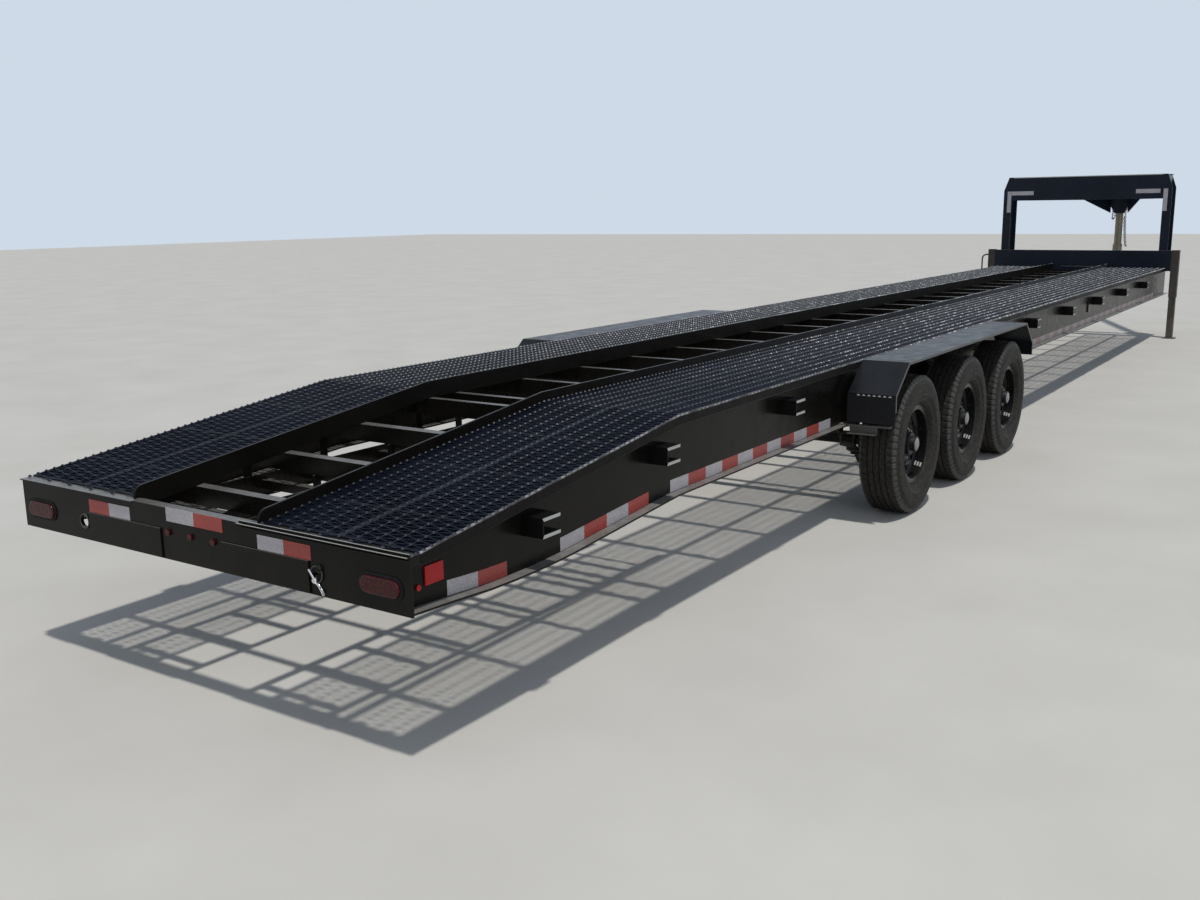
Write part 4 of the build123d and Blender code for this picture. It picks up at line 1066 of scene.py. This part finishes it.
# Safety chains
def chain(build, line, pitch=0.026, link=0.0085, wire=0.0042):
    """Links along a line of points, each turned a quarter from the one before."""
    run = np.concatenate([[0], np.cumsum(np.linalg.norm(np.diff(line, axis=0), axis=1))])
    stops = np.linspace(0, run[-1], max(2, int(round(run[-1] / pitch))) + 1)
    path = np.stack([np.interp(stops, run, line[:, axis]) for axis in range(3)], -1)
    # The small turn keeps every point clearly in one half of the link.
    angles = around(16) + 1e-6
    for number, (start, end) in enumerate(zip(path, path[1:])):
        middle = (start + end) / 2
        first, second, unit = square_to(end - start)
        across = second if number % 2 else first
        straight = np.linalg.norm(end - start) / 2 + wire - link
        halves = np.outer(straight * np.sign(np.cos(angles)), unit)
        tube(build, middle + halves + link * circle(unit, across, angles), wire, 8, closed=True)


def hanging(start, end, drop, width):
    """A chain that hangs in a narrow loop between two points of the same piece."""
    share = np.linspace(0, 1, 60)
    path = start + np.outer(share, end - start)
    path[:, 2] -= drop * (1 - np.abs(2 * share - 1) ** 3)
    path[:, 1] += width * np.sin(math.pi * share) * np.sign(start[1])
    return path


build = Build()
chain(build, hanging(at(16.32, -0.085, 1.56), at(16.38, -0.062, 1.50), drop=0.46, width=0.045))
chain(build, hanging(at(16.32, 0.085, 1.60), at(16.38, 0.060, 1.54), drop=0.10, width=0.02))
build.piece("safety_chains", "root", "bare_steel", [GALVANISED], smooth=40)

# A lighter strip along the front edge of the opening
build = Build()
box(build, at(13.833, 0, 0.8935), (0.014, 0.44, 0.010))
build.piece("front_edge", "root", "black_paint", [BRACKET_PAINT])

# Lip on the right half of the rear panel, with two bright lines along its edges that are painted
# highlights
LIP_Y = -0.645
LIP_HALF = 0.383
build = Build()
box(build, at(0.002, LIP_Y, 0.7042), (0.004, 0.768, 0.0085))
# The two thin bright bars are painted highlights on the lip's edges.
for place, z in ((-0.0098, 0.6998), (0.0005, 0.7086)):
    line = [at(place, LIP_Y + step * LIP_HALF, z) for step in (1, 0, -1)]
    tube(build, line, 0.0013, 8, shade=1)
build.piece("rear_lip_edges", "root", "black_paint", [MATERIALS["black_paint"], CUT_STEEL_AND_HIGHLIGHT])

# Rings round the two sockets in the rear panel
SOCKET_Y = 0.626
SOCKET_Z = 0.582
SOCKET_RADIUS = 0.0265
build = Build()
for y in (SOCKET_Y, -SOCKET_Y):
    ring = at(-0.0042, y, SOCKET_Z) + SOCKET_RADIUS * circle((0, 1, 0), (0, 0, 1), around(40))
    tube(build, ring, 0.0022, 8, closed=True)
build.piece("socket_rings", "root", "black_paint", [BRACKET_PAINT], smooth=40)

# Hitch pin on the rear panel: shank, head, pull ring and its short chain
SHANK = [(-0.0065, -0.5945, 0.594), (-0.0065, -0.606, 0.580), (-0.0065, -0.617, 0.566)]
PIN_HEAD = [(0, 0.0105), (0.008, 0.0105), (0.0105, 0.008)]
LEASH = [(-0.0068, -0.624, 0.557), (-0.0068, -0.640, 0.545), (-0.0068, -0.657, 0.519)]
build = Build()
tube(build, [at(*point) for point in SHANK], 0.0040, 12)
turned(build, at(-0.0005, -0.618, 0.561), (-1, 0, 0), PIN_HEAD, 20)
pull_ring = at(-0.006, -0.640, 0.602) + circle((0, 0.0095, 0), (0, 0, 0.0115), around(20))
tube(build, pull_ring, 0.0022, 8, shade=1, closed=True)
chain(build, np.array([at(*point) for point in LEASH]), pitch=0.011, link=0.0036, wire=0.0018)
build.piece("hitch_pin", "root", "bare_steel", [BRIGHT, CAST_BLACK], smooth=40)

# Floor
FLOOR_HALF = 60
floor_mesh = bpy.data.meshes.new("floor")
floor_corners = [(x * FLOOR_HALF, y * FLOOR_HALF, 0) for x, y in ((-1, -1), (1, -1), (1, 1), (-1, 1))]
floor_mesh.from_pydata(floor_corners, [], [(0, 1, 2, 3)])
floor = place_object("floor", floor_mesh)
material, tree, shader, coords = principled("floor_pale")
colour = ramp(tree, noise(tree, coords, scale=1.2), (0.3, (0.55, 0.53, 0.49)), (0.7, (0.60, 0.58, 0.54)))
tree.links.new(colour, shader.inputs["Base Color"])
shader.inputs["Roughness"].default_value = 0.9
shader.inputs["Specular IOR Level"].default_value = 0.1
floor_mesh.materials.append(material)

# World: sky light on the object, and a pale backdrop for the camera and for reflections
world = bpy.data.worlds.new("studio")
bpy.context.scene.world = world
world.use_nodes = True
tree = world.node_tree
sky = tree.nodes["Background"]
sky.inputs["Color"].default_value = (0.62, 0.74, 0.92, 1)
sky.inputs["Strength"].default_value = 0.42
backdrop = tree.nodes.new("ShaderNodeBackground")
backdrop.inputs["Color"].default_value = (0.62, 0.70, 0.80, 1)
backdrop.inputs["Strength"].default_value = 1.0
ray = tree.nodes.new("ShaderNodeLightPath").outputs
chooser = tree.nodes.new("ShaderNodeMixShader")
seen = calculate(tree, "MAXIMUM", ray["Is Camera Ray"], ray["Is Glossy Ray"])
seen = calculate(tree, "MAXIMUM", seen, ray["Is Transmission Ray"])
tree.links.new(seen, chooser.inputs["Fac"])
tree.links.new(sky.outputs[0], chooser.inputs[1])
tree.links.new(backdrop.outputs[0], chooser.inputs[2])
tree.links.new(chooser.outputs[0], tree.nodes["World Output"].inputs["Surface"])


# Lights
def aimed(direction):
    """The turn of a light that shines along a direction."""
    return direction.to_track_quat("-Z", "Y").to_euler()


sun_data = bpy.data.lights.new("sun", "SUN")
sun_data.energy = 2.1
sun_data.angle = math.radians(2.5)
sun_data.color = (1.0, 0.97, 0.92)
sun = place_object("sun", sun_data)
sun.rotation_euler = aimed(Vector((0.16, 0.217, -1.0)))

LAMP_PLACE = Vector((-13, -9, 5))
LAMP_TARGET = Vector((-3, 0, 0.6))
lamp_data = bpy.data.lights.new("rear_right", "AREA")
lamp_data.shape = "RECTANGLE"
lamp_data.size = 8
lamp_data.size_y = 5
lamp_data.energy = 180
lamp = place_object("rear_right", lamp_data)
lamp.location = LAMP_PLACE
lamp.rotation_euler = aimed(LAMP_TARGET - LAMP_PLACE)

# Camera, fitted to the photograph's straight lines
PHOTO_WIDTH = 1200
FOCAL_PIXELS = 1159.92
SENSOR_WIDTH = 36
CAMERA_PLACE = at(-2.424, -3.349, 1.702)
YAW = math.radians(33.974)
PITCH = math.radians(11.686)
ROLL = math.radians(-0.816)
camera_data = bpy.data.cameras.new("camera")
camera_data.sensor_width = SENSOR_WIDTH
camera_data.lens = FOCAL_PIXELS / PHOTO_WIDTH * SENSOR_WIDTH
camera_data.clip_end = 300
camera = place_object("camera", camera_data)
forward = Vector((math.cos(YAW) * math.cos(PITCH), math.sin(YAW) * math.cos(PITCH), -math.sin(PITCH)))
right = Vector((math.sin(YAW), -math.cos(YAW), 0))
up = right.cross(forward)
right_rolled = right * math.cos(ROLL) + up * math.sin(ROLL)
up_rolled = up * math.cos(ROLL) - right * math.sin(ROLL)
turn = Matrix((right_rolled, up_rolled, -forward)).transposed().to_4x4()
camera.matrix_world = Matrix.Translation(Vector(CAMERA_PLACE)) @ turn
bpy.context.scene.camera = camera
bpy.context.scene.view_settings.view_transform = "Standard"
